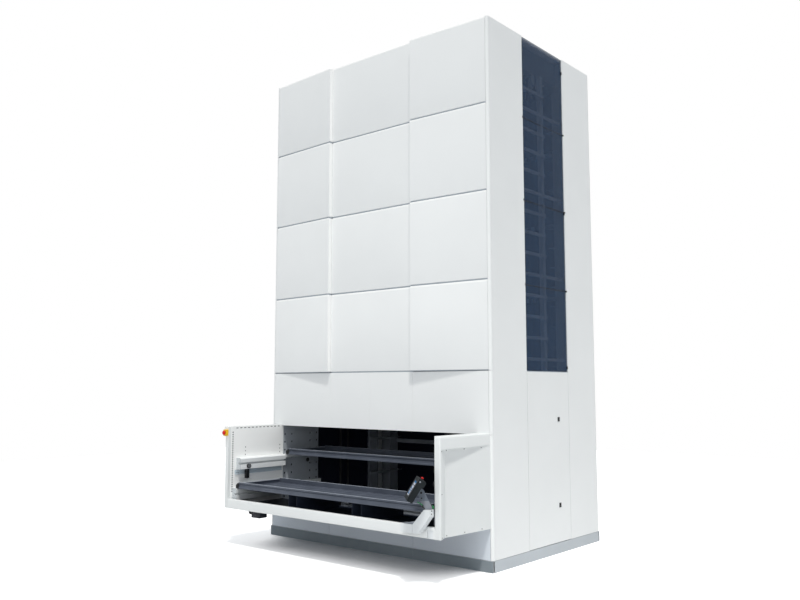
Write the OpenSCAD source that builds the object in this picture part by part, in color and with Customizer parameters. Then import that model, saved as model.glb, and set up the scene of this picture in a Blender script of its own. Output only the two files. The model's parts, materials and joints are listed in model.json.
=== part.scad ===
// Vertical lift module: a tall storage tower with an external picking bay at its front.
// The tray lift runs in a shaft between a front and a rear rack of tray ledges.
// Frame: +X to the right seen from the front, +Y to the rear, +Z up, in millimetres.
// The origin is the centre of the tower's footprint on the floor.

/* [Tower] */
// Width of the tower over its side cladding
tower_w = 3800; // [3600:10:4200]
// Depth of the tower over its front and rear cladding
tower_d = 2580; // [2500:10:2800]
// Height of the tower from the floor to the top of the cladding
tower_h = 6570; // [6000:10:7600]
// Height of the plinth skirt
plinth_h = 130; // [110:5:150]
// Height of the header's lower edge above the floor
header_bottom = 1545; // [1520:5:1600]
// Height of the header's upper edge above the floor
header_top = 2287; // [2200:1:2400]
// Number of panel rows above the header
panel_rows = 4; // [3:1:5]
// Width of the flat centre column of front panels
centre_w = 1450; // [1000:10:1800]
// How far the side columns stand proud at their inner edges
wedge_out = 60; // [20:1:100]
// Radius of the corner trims
corner_r = 35; // [32:1:45]

/* [Cladding] */
// Thickness of the cladding sheet
sheet_t = 2; // [1.5:0.5:3]
// Depth of a cladding panel's folded edges
pan_d = 28; // [24:1:30]
// Height of the groove between two panel rows
row_gap = 16; // [12:1:30]
// Width of the seam between two panels side by side
seam_gap = 4; // [2:1:6]
// Width of the window and door opening in the tower's sides
side_open_w = 1028; // [900:2:1060]
// Thickness of the window panes
pane_t = 6; // [4:1:8]
// How far the window panes sit behind the side cladding
pane_inset = 12; // [8:1:14]

/* [Frame] */
// Distance from the cladding's back to the inner face of the side frames
side_frame_t = 172; // [160:2:190]
// Width of an upright, front to rear
upright_w = 200; // [180:5:220]
// Wall of the uprights
upright_wall = 3; // [2:0.5:4]
// Wall of the frame tubes
tube_wall = 5; // [3:0.5:8]
// Width of the base frame's tubes
base_tube_w = 100; // [90:5:120]
// Thickness of the base frame's floor plates
floor_plate_t = 12; // [8:1:16]
// Side of a floor plate
floor_plate_w = 240; // [220:5:280]
// Diameter of the floor anchor holes
anchor_d = 18; // [14:1:22]
// Distance of an anchor hole from its plate's inner edges
anchor_inset = 40; // [30:1:50]
// Distance between the front and the rear inner uprights
shaft_d = 1140; // [1100:10:1180]
// Height of the beams that carry the top pulleys
pulley_beam_h = 300; // [250:10:340]
// Height of the top frame's cross beams
top_beam_h = 140; // [100:5:180]
// Depth of the cladding rails, front to rear
rail_d = 32; // [28:1:40]
// Height of the cladding rails
rail_h = 60; // [50:2:80]
// Vertical pitch of the tray ledges and of the rungs behind the windows
ledge_pitch = 270; // [250:5:300]
// Height of the upper run of a ledge's wall leg
ledge_h = 40; // [30:2:60]
// Thickness of a ledge's sheet
ledge_t = 3; // [2:0.5:4]
// Height of the side frame rungs
rung_t = 40; // [30:2:44]
// Side of the square perforations in the uprights
perf_w = 24; // [16:1:30]
// Distance between the two rows of perforations on an upright
perf_row_gap = 130; // [110:5:150]
// Vertical pitch of the perforations
perf_pitch = 109; // [90:1:130]

/* [Trays] */
// Height of the lower bay tray's underside
lower_tray_z = 745; // [735:5:755]
// Height of the upper bay tray's underside
upper_tray_z = 1140; // [1120:5:1180]
// Height of a tray's rims
tray_h = 80; // [60:2:90]
// Depth of a tray's rims, front to rear
tray_rim = 26; // [22:1:34]
// Gap between a tray's ends and the side walls
tray_side_gap = 60; // [50:2:70]
// Length of a tray's end bearers beyond its body
ear_w = 60; // [50:2:70]
// Height of the end bearers
ear_h = 20; // [16:1:26]
// Thickness of the black corner blocks, front to rear
block_d = 30; // [24:1:40]
// How far a tray's end bearers overlap the rails that carry them
bearing_w = 30; // [20:1:40]
// Gap between the inner tray position and the tower's front frame plane
tray_front_gap = 2; // [1:1:6]
// Gap between the inner tray position and the lift carriage
tray_rear_gap = 130; // [110:5:140]
// Thickness of the tray sheet
tray_t = 2; // [1.5:0.5:3]

/* [Lift] */
// Depth of the lift carriage
carriage_d = 780; // [740:10:820]
// Height of the carriage's tray rails at rest
lift_rest_z = 1825; // [1760:5:1850]
// Thickness of the carriage's end cheeks
cheek_t = 12; // [10:1:16]
// Height of the cheeks above the tray level
cheek_up = 200; // [190:5:240]
// Height of the cheeks below the tray level
cheek_down = 130; // [120:5:150]
// Pitch radius of the belt pulleys
pulley_r = 80; // [70:1:85]
// Width of the lift belts
belt_w = 40; // [30:2:44]
// Thickness of the lift belts
belt_t = 5; // [3:0.5:6]
// Height of the drive shaft above the floor
drive_z = 300; // [280:5:320]
// Diameter of the drive shaft
shaft_dia = 40; // [30:2:46]
// Width of the guide posts
guide_w = 60; // [50:2:66]
// Distance of the guide posts' front face behind the belts' centre plane
guide_y = 92; // [90:1:100]
// Radius of the guide rollers
roller_r = 38; // [32:1:42]
// Diameter of the guide rollers' axles
axle_dia = 20; // [16:1:24]
// Width of the extractor's hook blocks, front to rear
hook_w = 120; // [90:5:140]

/* [Bay] */
// How far the bay stands out of the tower's front
bay_d = 940; // [900:10:1000]
// How far the bay's right outer face sits inside the tower's side
bay_inset = 25; // [10:1:34]
// How far the bay's left outer face sits inside the tower's side
left_inset = 100; // [90:1:110]
// Height of the bay's underside
bay_bottom = 490; // [470:5:500]
// Height of the bay's top edge
bay_top = 1560; // [1550:5:1600]
// Height of the straight lip along the bay's top
bay_lip_h = 130; // [100:5:160]
// Depth of the posts along the bay's front edges
bay_post_w = 160; // [140:5:180]
// Thickness of the bay's front edges
bay_post_t = 70; // [60:1:80]
// How far the side covers sink in at the bay's front
bay_recess = 60; // [30:2:80]
// Radius of the bay's front edges
bay_edge_r = 18; // [8:1:24]
// Height of the apron beam across the bay's front
apron_h = 120; // [100:5:130]
// Depth of the apron beam
apron_d = 60; // [50:5:80]
// Height of a tray rail's section
tray_rail_h = 150; // [140:5:160]
// Height of the groove along a tray rail
rail_groove_h = 26; // [20:1:34]
// Diameter of the bay's black screw heads
screw_d = 11; // [8:1:16]

/* [Service door] */
// Thickness of the door
door_t = 24; // [22:1:26]
// Gap round the door's edges
door_gap = 8; // [8:1:10]
// Inset of the door's pivot axis from its outer face and front edge
pivot_inset = 10; // [9:1:10]
// Diameter of the pivot pins
pivot_dia = 12; // [8:1:14]
// Distance of the latches behind the door's centre
latch_y = 240; // [200:5:260]
// Height of the upper latch
latch_high_z = 1677; // [1500:1:1900]
// Height of the lower latch
latch_low_z = 594; // [450:1:800]
// Width of a latch's bezel
latch_w = 46; // [40:1:60]
// Height of a latch's bezel
latch_h = 56; // [46:1:70]
// Diameter of a latch's turning plug
plug_dia = 32; // [24:1:36]

/* [Emergency stops] */
// Width of the yellow stop box
stop_box_w = 62; // [50:1:80]
// Height of the yellow stop box
stop_box_h = 84; // [70:1:95]
// Depth of the yellow stop box
stop_box_d = 40; // [30:1:60]
// Diameter of the red mushroom button on the bay
mushroom_dia = 58; // [40:1:60]
// Diameter of the red mushroom button on the console
small_mushroom_dia = 34; // [28:1:44]
// Travel of the buttons
stop_travel = 6; // [4:0.5:8]

/* [Console] */
// Width of the console housing
console_w = 310; // [260:5:340]
// Height of the console housing along its screen
console_h = 262; // [240:2:290]
// Thickness of the console housing
console_t = 86; // [76:2:100]
// Depth of the console's slim lower part
console_slab_t = 68; // [56:1:74]
// Tilt of the screen back from upright
console_tilt = 32; // [20:1:40]
// Direction of the console arm, turned from +X
console_yaw = 225; // [215:1:240]
// Distance of the lower arm's foot from the bay's right outer face
arm_in = 310; // [290:5:330]
// Thickness of the console arm
arm_t = 40; // [30:1:46]
// Height of the white lower arm's top
swivel_z = 805; // [780:5:830]
// Diameter of the arm's swivel pin
swivel_dia = 24; // [18:1:28]
// Width of the white lower arm at its top
lower_arm_w = 74; // [64:2:90]
// Thickness of the white lower arm, front to rear
lower_arm_t = 80; // [70:2:84]

/* [Hidden] */
$fn = 48;
// Clearances: sliding faces, and the radial running fit of pins and shafts
slide_gap = 0.3;
run_gap = 0.05;
// Hairline seams between the welded parts of one frame
weld_gap = 0.1;
// Cuts reach this far past the faces that they open
past = 1;

// Main planes of the tower
half_w = tower_w / 2;
half_d = tower_d / 2;
frame_x = half_w - pan_d;
frame_y = half_d - pan_d;
wall_x = frame_x - side_frame_t;
shaft_y = shaft_d / 2;
top_z = tower_h - pan_d;
row_h = (tower_h - header_top) / panel_rows;
trim_x = half_w - corner_r - seam_gap;
trim_y = half_d - corner_r - seam_gap;
open_y = side_open_w / 2;
pane_x = half_w - pane_inset;
beam_bottom = top_z - pulley_beam_h;

// Planes of the trays and of what carries them
liner_t = 3;
liner_x = wall_x - liner_t;
tray_x = wall_x - tray_side_gap;
body_x = tray_x - ear_w;
bearer_x = tray_x - bearing_w;
carriage_y = carriage_d / 2;
tray_front = -frame_y + tray_front_gap;
tray_d = -tray_front - carriage_y - tray_rear_gap;
inner_tray_y = tray_front + tray_d / 2;

// Planes of the bay
bay_x = half_w - bay_inset;
bay_front = -half_d - bay_d;
apron_gap = 30;
outer_tray_y = bay_front + apron_d + apron_gap + tray_d / 2;
left_x = half_w - left_inset;
cover_front = bay_front + bay_post_w;
post_flange = 30;
liner_edge = 42;
rail_front = bay_front + bay_post_w / 2;
lip_z = bay_top - bay_lip_h;
right_rail_in = 150;
floor_z = bay_bottom + 30;

// Planes of the lift
cheek_x = tray_x + 10;
cheek_out = cheek_x + cheek_t;
lift_rail_x = bearer_x - 10;
pulley_x = wall_x - 10;
idler_z = beam_bottom - pulley_r - belt_t - 15;
guide_x = pulley_x + belt_w + 14;
roller_in = 5;
bearing_t = 16;
bearing_gap = 4;
strand_in = pulley_r;
strand_out = pulley_r + belt_t;
front_roller_y = guide_y - roller_r - slide_gap;
rear_roller_y = guide_y + guide_w + roller_r + slide_gap;
front_roller_z = lift_rest_z + 150;
rear_roller_z = lift_rest_z - 80;

// Door planes
door_y = open_y - door_gap;
door_bottom = plinth_h + door_gap;
door_top = header_top - row_gap / 2;
pivot_x = half_w - pivot_inset;
pivot_y = -door_y + pivot_inset;
pivot_len = 22;
jamb_y = latch_y + 35;
latch_cam_x = frame_x - rail_d - 14;
latch_proud = 4;
sill_top = header_top + seam_gap / 2;
sill_low = plinth_h + rail_h / 2;

// Console places
arm_gap = 10;
arm_foot_x = bay_x - arm_in;
swivel_x = bay_x - 116;
swivel_y = bay_front - arm_gap - lower_arm_t / 2;
tilt_u = 83;
tilt_h = 178;
tilt_r = 38;
tilt_pin_dia = 16;
pin_proud = 3;
ear_t = 12;
console_step = tilt_r + 3;
console_back = console_step + console_slab_t - console_t;
console_low = -console_h / 2 - 10;
screen_w = 250;
screen_h = 186;
screen_t = 4;
screen_sink = 2;
arm_base = bay_bottom + 54;
arm_step = 92;

// Emergency stop places
stop_x = -wall_x - bay_post_t / 2;
stop_z = bay_top - 80;
stem_r = 11;
stem_l = 14;

white = [0.90, 0.91, 0.91];
grey = [0.50, 0.53, 0.55];
dark = [0.22, 0.24, 0.27];
black = [0.06, 0.06, 0.07];
steel = [0.62, 0.64, 0.66];

// Shared shapes

// A box between two corners
module block(lo, hi) {
    translate(lo) cube(hi - lo);
}

// A part and its mirror image on the other side of the tower
module both_sides() {
    children();
    mirror([1, 0, 0]) children();
}

function tube_inset(axis, wall) = [for (i = [0:2]) i == axis ? -past : wall];

// A square tube that is open along one axis
module tube(lo, hi, axis, wall) {
    inset = tube_inset(axis, wall);
    difference() {
        block(lo, hi);
        block(lo + inset, hi - inset);
    }
}

// A folded sheet pan between two corners, open on one side of one axis
module pan(lo, hi, axis, side) {
    cut_lo = [for (i = [0:2]) i == axis && side < 0 ? lo[i] - past : lo[i] + sheet_t];
    cut_hi = [for (i = [0:2]) i == axis && side > 0 ? hi[i] + past : hi[i] - sheet_t];
    difference() {
        block(lo, hi);
        block(cut_lo, cut_hi);
    }
}

// A cylinder along X between two places
module rod_x(x0, x1, y, z, r) {
    translate([x0, y, z]) rotate([0, 90, 0]) cylinder(h = x1 - x0, r = r);
}

// A cylinder along Y between two places
module rod_y(y0, y1, x, z, r) {
    translate([x, y1, z]) rotate([90, 0, 0]) cylinder(h = y1 - y0, r = r);
}

// A plan outline in the XZ plane, made thick from the front plane y0 to the rear plane y1
module xz_plate(y0, y1) {
    translate([0, y1, 0]) rotate([90, 0, 0]) linear_extrude(y1 - y0) children();
}

// An outline in the YZ plane, made thick along X
module yz_plate(x0, x1) {
    translate([x0, 0, 0]) rotate([90, 0, 90]) linear_extrude(x1 - x0) children();
}

function row_z(i) = header_top + i * row_h;
function row_low(i) = row_z(i) + row_gap / 2;
function row_high(i) = i == panel_rows - 1 ? tower_h : row_z(i + 1) - row_gap / 2;

// Frame

module base_frame() color(steel) {
    mid = base_tube_w / 2;
    z0 = floor_plate_t + weld_gap;
    inner_y = frame_y - base_tube_w - weld_gap;
    for (s = [-1, 1]) {
        y = s > 0 ? frame_y - base_tube_w : -frame_y;
        tube([-frame_x, y, z0], [frame_x, y + base_tube_w, plinth_h], 0, tube_wall);
        x = s > 0 ? frame_x - base_tube_w : -frame_x;
        tube([x, -inner_y, z0], [x + base_tube_w, inner_y, plinth_h], 1, tube_wall);
        rib_y = s > 0 ? mid + weld_gap : -inner_y;
        tube([-mid, rib_y, z0], [mid, rib_y + inner_y - mid - weld_gap, plinth_h], 1, tube_wall);
    }
    inner_x = frame_x - base_tube_w - weld_gap;
    tube([-inner_x, -mid, z0], [inner_x, mid, plinth_h], 0, tube_wall);
    block([-mid, -mid, 0], [mid, mid, floor_plate_t]);
    for (sx = [0, 1], sy = [0, 1]) mirror([sx, 0, 0]) mirror([0, sy, 0]) floor_plate();
}

module floor_plate() {
    hole = floor_plate_w - anchor_inset;
    difference() {
        block([frame_x - floor_plate_w, frame_y - floor_plate_w, 0], [frame_x, frame_y, floor_plate_t]);
        translate([frame_x - hole, frame_y - hole, -past])
            cylinder(h = floor_plate_t + 2 * past, d = anchor_d);
    }
}

module plinth_skirt() color(grey) {
    skirt_t = 3;
    for (s = [0, 1]) {
        mirror([0, s, 0]) yz_plate(-half_w, half_w)
            polygon([[-half_d, 0], [-half_d + skirt_t, 0], [-half_d + skirt_t, plinth_h - skirt_t],
                [-frame_y, plinth_h - skirt_t], [-frame_y, plinth_h], [-half_d, plinth_h]]);
        mirror([s, 0, 0]) xz_plate(weld_gap - frame_y, frame_y - weld_gap)
            polygon([[half_w, 0], [half_w - skirt_t, 0], [half_w - skirt_t, plinth_h - skirt_t],
                [frame_x, plinth_h - skirt_t], [frame_x, plinth_h], [half_w, plinth_h]]);
    }
}

// The perforations that face the bay, in pairs on one upright whose front face is at y
module perforations(y) {
    mid = y + upright_w / 2;
    low = bay_bottom + perf_pitch / 2;
    for (z = [low:perf_pitch:header_bottom - perf_pitch / 2], s = [-1, 1])
        translate([wall_x, mid + s * perf_row_gap / 2, z])
            cube([2 * (upright_wall + liner_t), perf_w, perf_w], center = true);
}

module upright(y) {
    tube([wall_x, y, plinth_h], [frame_x, y + upright_w, top_z], 2, upright_wall);
}

module front_uprights() color(grey) both_sides() {
    for (y = [-frame_y, -shaft_y - upright_w]) difference() {
        upright(y);
        perforations(y);
    }
}

module rear_uprights() color(grey) both_sides() {
    upright(shaft_y);
    upright(frame_y - upright_w);
}

module bay_zone_liners() color(grey) both_sides() difference() {
    block([liner_x, -frame_y, bay_bottom], [wall_x, -shaft_y, header_bottom - seam_gap]);
    perforations(-frame_y);
    perforations(-shaft_y - upright_w);
}

module guide_posts() color(steel) both_sides()
    tube([guide_x, guide_y, plinth_h], [guide_x + guide_w, guide_y + guide_w, beam_bottom], 2, tube_wall);

// Rungs behind the windows: most end on the guide post, every fourth one ties the two racks
module side_rungs() color(grey) both_sides() {
    x = guide_x + guide_w;
    count = floor((beam_bottom - header_top - rung_t) / ledge_pitch);
    for (i = [0:count - 1]) {
        z = header_top + ledge_pitch * (i + 0.5);
        rear = i % 4 == 0 ? shaft_y : guide_y + guide_w;
        tube([x, -shaft_y, z], [x + rung_t / 2, rear, z + rung_t], 1, tube_wall / 2);
    }
}

module ledge(y0, y1, z) {
    xz_plate(y0, y1)
        polygon([[bearer_x, z], [wall_x, z], [wall_x, z - ledge_h], [wall_x - ledge_t, z - ledge_h],
            [wall_x - ledge_t, z - ledge_t], [bearer_x, z - ledge_t]]);
}

// Tray ledges up the front rack above the bay and up the whole rear rack
module tray_ledges() color(steel) both_sides() {
    highest = beam_bottom - 2 * ledge_pitch;
    for (z = [lower_tray_z:ledge_pitch:highest]) {
        if (z > header_top) ledge(-frame_y, -shaft_y, z - slide_gap);
        ledge(shaft_y, frame_y, z - slide_gap);
    }
}

module top_frame() color(grey) {
    beam_t = 80;
    over = 30;
    both_sides() {
        tube([pulley_x - over, -shaft_y, beam_bottom],
            [pulley_x + belt_w + over, shaft_y, top_z], 1, tube_wall);
        for (s = [0, 1]) mirror([0, s, 0])
            tube([wall_x, shaft_y + upright_w, top_z - top_beam_h],
                [wall_x + beam_t, frame_y - upright_w, top_z], 1, tube_wall);
    }
    for (s = [0, 1], y = [frame_y, shaft_y + upright_w / 2]) mirror([0, s, 0])
        tube([-wall_x, y - beam_t, top_z - top_beam_h], [wall_x, y, top_z], 0, tube_wall);
}

// Rails behind the panel joints, side sills and the jamb that the door's latches catch
module cladding_rails() color(grey) {
    rear_mid = (plinth_h + header_top) / 2;
    rows = [for (i = [0:panel_rows - 1]) row_z(i)];
    for (z = concat([bay_bottom - seam_gap - rail_h / 2, header_bottom + rail_h / 2], rows))
        rail([-wall_x, -frame_y, z - rail_h / 2], [wall_x, -frame_y + rail_d, z + rail_h / 2], 0);
    for (z = concat([rear_mid], rows))
        rail([-wall_x, frame_y - rail_d, z - rail_h / 2], [wall_x, frame_y, z + rail_h / 2], 0);
    both_sides() for (z = [sill_low, sill_top - rail_h])
        rail([frame_x - rail_d, -shaft_y, z], [frame_x, shaft_y, z + rail_h], 1);
    rail([frame_x - rail_d, jamb_y, sill_low + rail_h + weld_gap],
        [frame_x, jamb_y + rail_d, sill_top - rail_h - weld_gap], 2);
}

module rail(lo, hi, axis) {
    tube(lo, hi, axis, upright_wall);
}

// Cladding

module roof_panels() color(white) {
    edge_x = frame_x - seam_gap;
    edge_y = frame_y - seam_gap;
    step = 2 * edge_x / 3;
    for (i = [0:2]) {
        x = -edge_x + i * step;
        pan([x + seam_gap / 2, -edge_y, top_z], [x + step - seam_gap / 2, edge_y, tower_h], 2, -1);
    }
}

// One wedge panel of the right column: flush outside, proud at its inner edge
module wedge_pan(low, high) {
    x0 = centre_w / 2 + seam_gap / 2;
    depth = wedge_out * (1 - 2 * sheet_t / (trim_x - x0));
    translate([0, 0, low]) difference() {
        linear_extrude(high - low)
            polygon([[x0, -half_d - wedge_out], [trim_x, -half_d], [trim_x, -frame_y], [x0, -frame_y]]);
        translate([0, 0, sheet_t]) linear_extrude(high - low - 2 * sheet_t)
            polygon([[x0 + sheet_t, sheet_t - half_d - depth], [trim_x - sheet_t, sheet_t - half_d],
                [trim_x - sheet_t, past - frame_y], [x0 + sheet_t, past - frame_y]]);
    }
}

module front_right_panels() color(white)
    for (i = [0:panel_rows - 1]) wedge_pan(row_low(i), row_high(i));

module front_left_panels() color(white) mirror([1, 0, 0])
    for (i = [0:panel_rows - 1]) wedge_pan(row_low(i), row_high(i));

module front_centre_panels() color(white) {
    x = centre_w / 2 - seam_gap / 2;
    for (i = [0:panel_rows - 1]) pan([-x, -half_d, row_low(i)], [x, -frame_y, row_high(i)], 1, 1);
}

// A row of pans across the tower between the given seams
module front_row(seams, low, high) {
    for (i = [0:len(seams) - 2])
        pan([seams[i] + seam_gap / 2, -half_d, low], [seams[i + 1] - seam_gap / 2, -frame_y, high], 1, 1);
}

module header_panels() color(white)
    front_row([-trim_x, -centre_w / 2, 0, centre_w / 2, trim_x], header_bottom, header_top - row_gap / 2);

module lower_front_panels() color(white)
    front_row([-trim_x, -centre_w / 2, centre_w / 2, trim_x], plinth_h + seam_gap, bay_bottom - seam_gap);

module rear_panels() color(white) mirror([0, 1, 0]) {
    rear_mid = (plinth_h + header_top) / 2;
    seams = [-trim_x, -centre_w / 2, centre_w / 2, trim_x];
    front_row(seams, plinth_h + seam_gap, rear_mid - row_gap / 2);
    front_row(seams, rear_mid + row_gap / 2, header_top - row_gap / 2);
    for (i = [0:panel_rows - 1]) front_row(seams, row_low(i), row_high(i));
}

// The two full-height strips beside the window and door opening of the right side
module side_strips() {
    low = plinth_h + seam_gap;
    for (s = [0, 1]) mirror([0, s, 0]) pan([frame_x, open_y, low], [half_w, trim_y, tower_h], 0, -1);
}

module right_side_panels() color(white) side_strips();

module left_side_panels() color(white) mirror([1, 0, 0]) {
    side_strips();
    pan([frame_x, -open_y + seam_gap, plinth_h + seam_gap],
        [half_w, open_y - seam_gap, header_top - row_gap / 2], 0, -1);
}

module window_panes() color([0.16, 0.22, 0.29, 0.6]) both_sides()
    for (i = [0:panel_rows - 1])
        block([pane_x - pane_t, -open_y, row_z(i) + seam_gap / 2], [pane_x, open_y, row_high(i) + row_gap / 2
            - (i == panel_rows - 1 ? row_gap / 2 : seam_gap / 2)]);

// Small clips that hold the panes against the edges of the side strips
module window_clips() color(black) both_sides() {
    clip_h = 36;
    clip_w = 16;
    levels = [header_top + clip_h, row_z(panel_rows / 2) - clip_h, tower_h - 6 * clip_h];
    for (z = levels, s = [0, 1])
        mirror([0, s, 0]) block([pane_x, open_y - clip_w, z], [half_w, open_y, z + clip_h]);
}

// One rounded corner trim of the right front corner between two heights
module trim(low, high) {
    trim_t = 3;
    translate([half_w - corner_r, -half_d + corner_r, low]) difference() {
        intersection() {
            cylinder(h = high - low, r = corner_r);
            translate([0, -corner_r, 0]) cube([corner_r, corner_r, high - low]);
        }
        intersection() {
            translate([0, 0, -past]) cylinder(h = high - low + 2 * past, r = corner_r - trim_t);
            translate([trim_t, -corner_r - trim_t, -past]) cube([corner_r, corner_r, high - low + 2 * past]);
        }
        translate([-past, pan_d - corner_r, -past])
            cube([corner_r - pan_d + past, corner_r, high - low + 2 * past]);
    }
}

module corner_trims() color(white) {
    breaks = [plinth_h + seam_gap, header_bottom, header_top, tower_h + seam_gap];
    for (sx = [0, 1], sy = [0, 1], i = [0:2]) mirror([sx, 0, 0]) mirror([0, sy, 0])
        trim(breaks[i], breaks[i + 1] - seam_gap);
}

// Service door in the right side

// Brackets with the two pins that the door turns on
module door_pivots() color(steel) {
    bracket_w = 30;
    air = 2;
    y0 = pivot_y - bracket_w / 2;
    y1 = y0 + bracket_w;
    low_top = door_bottom - air;
    high_bottom = door_top + air;
    block([frame_x, y0, plinth_h], [half_w - air, y1, low_top]);
    translate([pivot_x, pivot_y, low_top]) cylinder(h = pivot_len, d = pivot_dia);
    block([frame_x, y0, high_bottom], [half_w - air, y1, sill_top]);
    translate([pivot_x, pivot_y, high_bottom - pivot_len]) cylinder(h = pivot_len, d = pivot_dia);
}

module service_door() color(white) {
    boss_w = pivot_inset + pivot_dia / 2 + 4;
    boss_h = pivot_len + 10;
    x0 = half_w - door_t;
    difference() {
        union() {
            pan([x0, -door_y, door_bottom], [half_w, door_y, door_top], 0, -1);
            for (z = [door_bottom, door_top - boss_h])
                block([x0, -door_y, z], [half_w, -door_y + boss_w, z + boss_h]);
        }
        for (z = [door_bottom - past, door_top - pivot_len - 2])
            translate([pivot_x, pivot_y, z]) cylinder(h = pivot_len + 2 + past, r = pivot_dia / 2 + run_gap);
        for (z = [latch_low_z, latch_high_z])
            rod_x(half_w - sheet_t - past, half_w + past, latch_y, z, plug_dia / 2 + 2 * run_gap);
    }
}

module latch_bezels() color(black)
    for (z = [latch_low_z, latch_high_z]) difference() {
        block([half_w, latch_y - latch_w / 2, z - latch_h / 2],
            [half_w + latch_proud, latch_y + latch_w / 2, z + latch_h / 2]);
        rod_x(half_w - past, half_w + latch_proud + past, latch_y, z, plug_dia / 2 + run_gap);
    }

// A turning plug with a slot in its face and a cam that points up when it is open
module latch(z) color(black) {
    cam_l = 60;
    cam_w = 16;
    cam_t = 8;
    slot_w = 5;
    slot_d = 2;
    difference() {
        rod_x(latch_cam_x, half_w + latch_proud, latch_y, z, plug_dia / 2);
        block([half_w + latch_proud - slot_d, latch_y - slot_w / 2, z - plug_dia],
            [half_w + latch_proud + past, latch_y + slot_w / 2, z + plug_dia]);
    }
    block([latch_cam_x - cam_t, latch_y - cam_w / 2, z - cam_w / 2],
        [latch_cam_x, latch_y + cam_w / 2, z + cam_l]);
}

module upper_latch() latch(latch_high_z);
module lower_latch() latch(latch_low_z);

// Inside the tower

module electrical_cabinet() color(grey) {
    cabinet_w = 800;
    cabinet_d = 230;
    cabinet_h = 340;
    x0 = -wall_x + upright_w;
    y0 = -frame_y + rail_d + slide_gap;
    lid_y = y0 + cabinet_d - sheet_t;
    top = plinth_h + cabinet_h;
    pan([x0, y0, plinth_h], [x0 + cabinet_w, lid_y - weld_gap, top], 1, 1);
    block([x0, lid_y, plinth_h], [x0 + cabinet_w, lid_y + sheet_t, top]);
}

// Gearbox on the drive shaft with a flange motor behind it
module lift_gearmotor() color(dark) {
    x0 = 900;
    box_w = 160;
    box_h = 220;
    motor_r = 85;
    motor_l = 300;
    foot_in = 20;
    foot = base_tube_w / 2;
    difference() {
        block([x0, -box_h / 2, drive_z - box_h / 2], [x0 + box_w, box_h / 2, drive_z + box_h / 2]);
        rod_x(x0 - past, x0 + box_w + past, 0, drive_z, shaft_dia / 2 + run_gap);
    }
    block([x0 + foot_in, -foot, plinth_h], [x0 + box_w - foot_in, foot, drive_z - box_h / 2]);
    rod_y(box_h / 2, box_h / 2 + motor_l, x0 + box_w / 2, drive_z, motor_r);
}

// Bearing blocks of the drive shaft on the base and of the top pulleys under their beams
module belt_bearings() color(steel) both_sides() {
    x0 = pulley_x - bearing_t - bearing_gap;
    x1 = pulley_x + belt_w + bearing_gap;
    low_w = 45;
    top_w = 40;
    difference() {
        block([x0, -low_w, plinth_h], [x0 + bearing_t, low_w, drive_z + low_w]);
        rod_x(x0 - past, x0 + bearing_t + past, 0, drive_z, shaft_dia / 2 + run_gap);
    }
    for (x = [x0, x1]) difference() {
        block([x, -top_w, idler_z - top_w], [x + bearing_t, top_w, beam_bottom]);
        rod_x(x - past, x + bearing_t + past, 0, idler_z, shaft_dia / 2 + run_gap);
    }
}

// Outline of a belt loop of the given radius round both pulleys
module loop_outline(r) {
    translate([0, drive_z]) circle(r);
    translate([0, idler_z]) circle(r);
    translate([-r, drive_z]) square([2 * r, idler_z - drive_z]);
}

module lift_belts() color(black) both_sides() yz_plate(pulley_x, pulley_x + belt_w) difference() {
    loop_outline(strand_out);
    loop_outline(strand_in);
}

module drive_shaft() color(steel) {
    end_x = pulley_x + belt_w + bearing_gap;
    rod_x(-end_x, end_x, 0, drive_z, shaft_dia / 2);
    both_sides() pulley(drive_z);
}

// A pulley that fits round the shaft
module pulley(z) difference() {
    rod_x(pulley_x, pulley_x + belt_w, 0, z, pulley_r - slide_gap);
    rod_x(pulley_x - past, pulley_x + belt_w + past, 0, z, shaft_dia / 2 + weld_gap);
}

module top_pulleys() color(steel) both_sides() {
    reach = bearing_gap + bearing_t;
    rod_x(pulley_x - reach, pulley_x + belt_w + reach, 0, idler_z, shaft_dia / 2);
    pulley(idler_z);
}

// Carriage: two end cheeks, two cross beams, tray rails, roller axles and belt clamps
module lift_carriage() color(grey) {
    beam_w = 80;
    beam_h = cheek_down - ledge_h;
    beam_x = cheek_x - weld_gap;
    pin_x = cheek_out + weld_gap;
    low = lift_rest_z - cheek_down;
    jaw_t = 20;
    jaw_low = lift_rest_z + 20;
    jaw_high = jaw_low + 100;
    axle_end = guide_x + guide_w - 4;
    for (s = [0, 1]) mirror([0, s, 0])
        tube([-beam_x, carriage_y - beam_w, low],
            [beam_x, carriage_y, low + beam_h - weld_gap], 0, upright_wall);
    both_sides() {
        block([cheek_x, -carriage_y, low], [cheek_out, carriage_y, lift_rest_z + cheek_up]);
        tube([lift_rail_x, -carriage_y, lift_rest_z - ledge_h],
            [beam_x, carriage_y, lift_rest_z], 1, upright_wall);
        rod_x(pin_x, axle_end, front_roller_y, front_roller_z, axle_dia / 2);
        rod_x(pin_x, axle_end, rear_roller_y, rear_roller_z, axle_dia / 2);
        for (y = [-strand_in + slide_gap, -strand_out - slide_gap - jaw_t])
            block([pin_x, y, jaw_low], [pulley_x + belt_w + bearing_gap, y + jaw_t, jaw_high]);
    }
}

module guide_rollers(y, z) color(dark) both_sides() difference() {
    rod_x(guide_x + roller_in, guide_x + guide_w - roller_in, y, z, roller_r);
    rod_x(guide_x, guide_x + guide_w, y, z, axle_dia / 2 + run_gap);
}

module front_guide_rollers() guide_rollers(front_roller_y, front_roller_z);
module rear_guide_rollers() guide_rollers(rear_roller_y, rear_roller_z);

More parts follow.
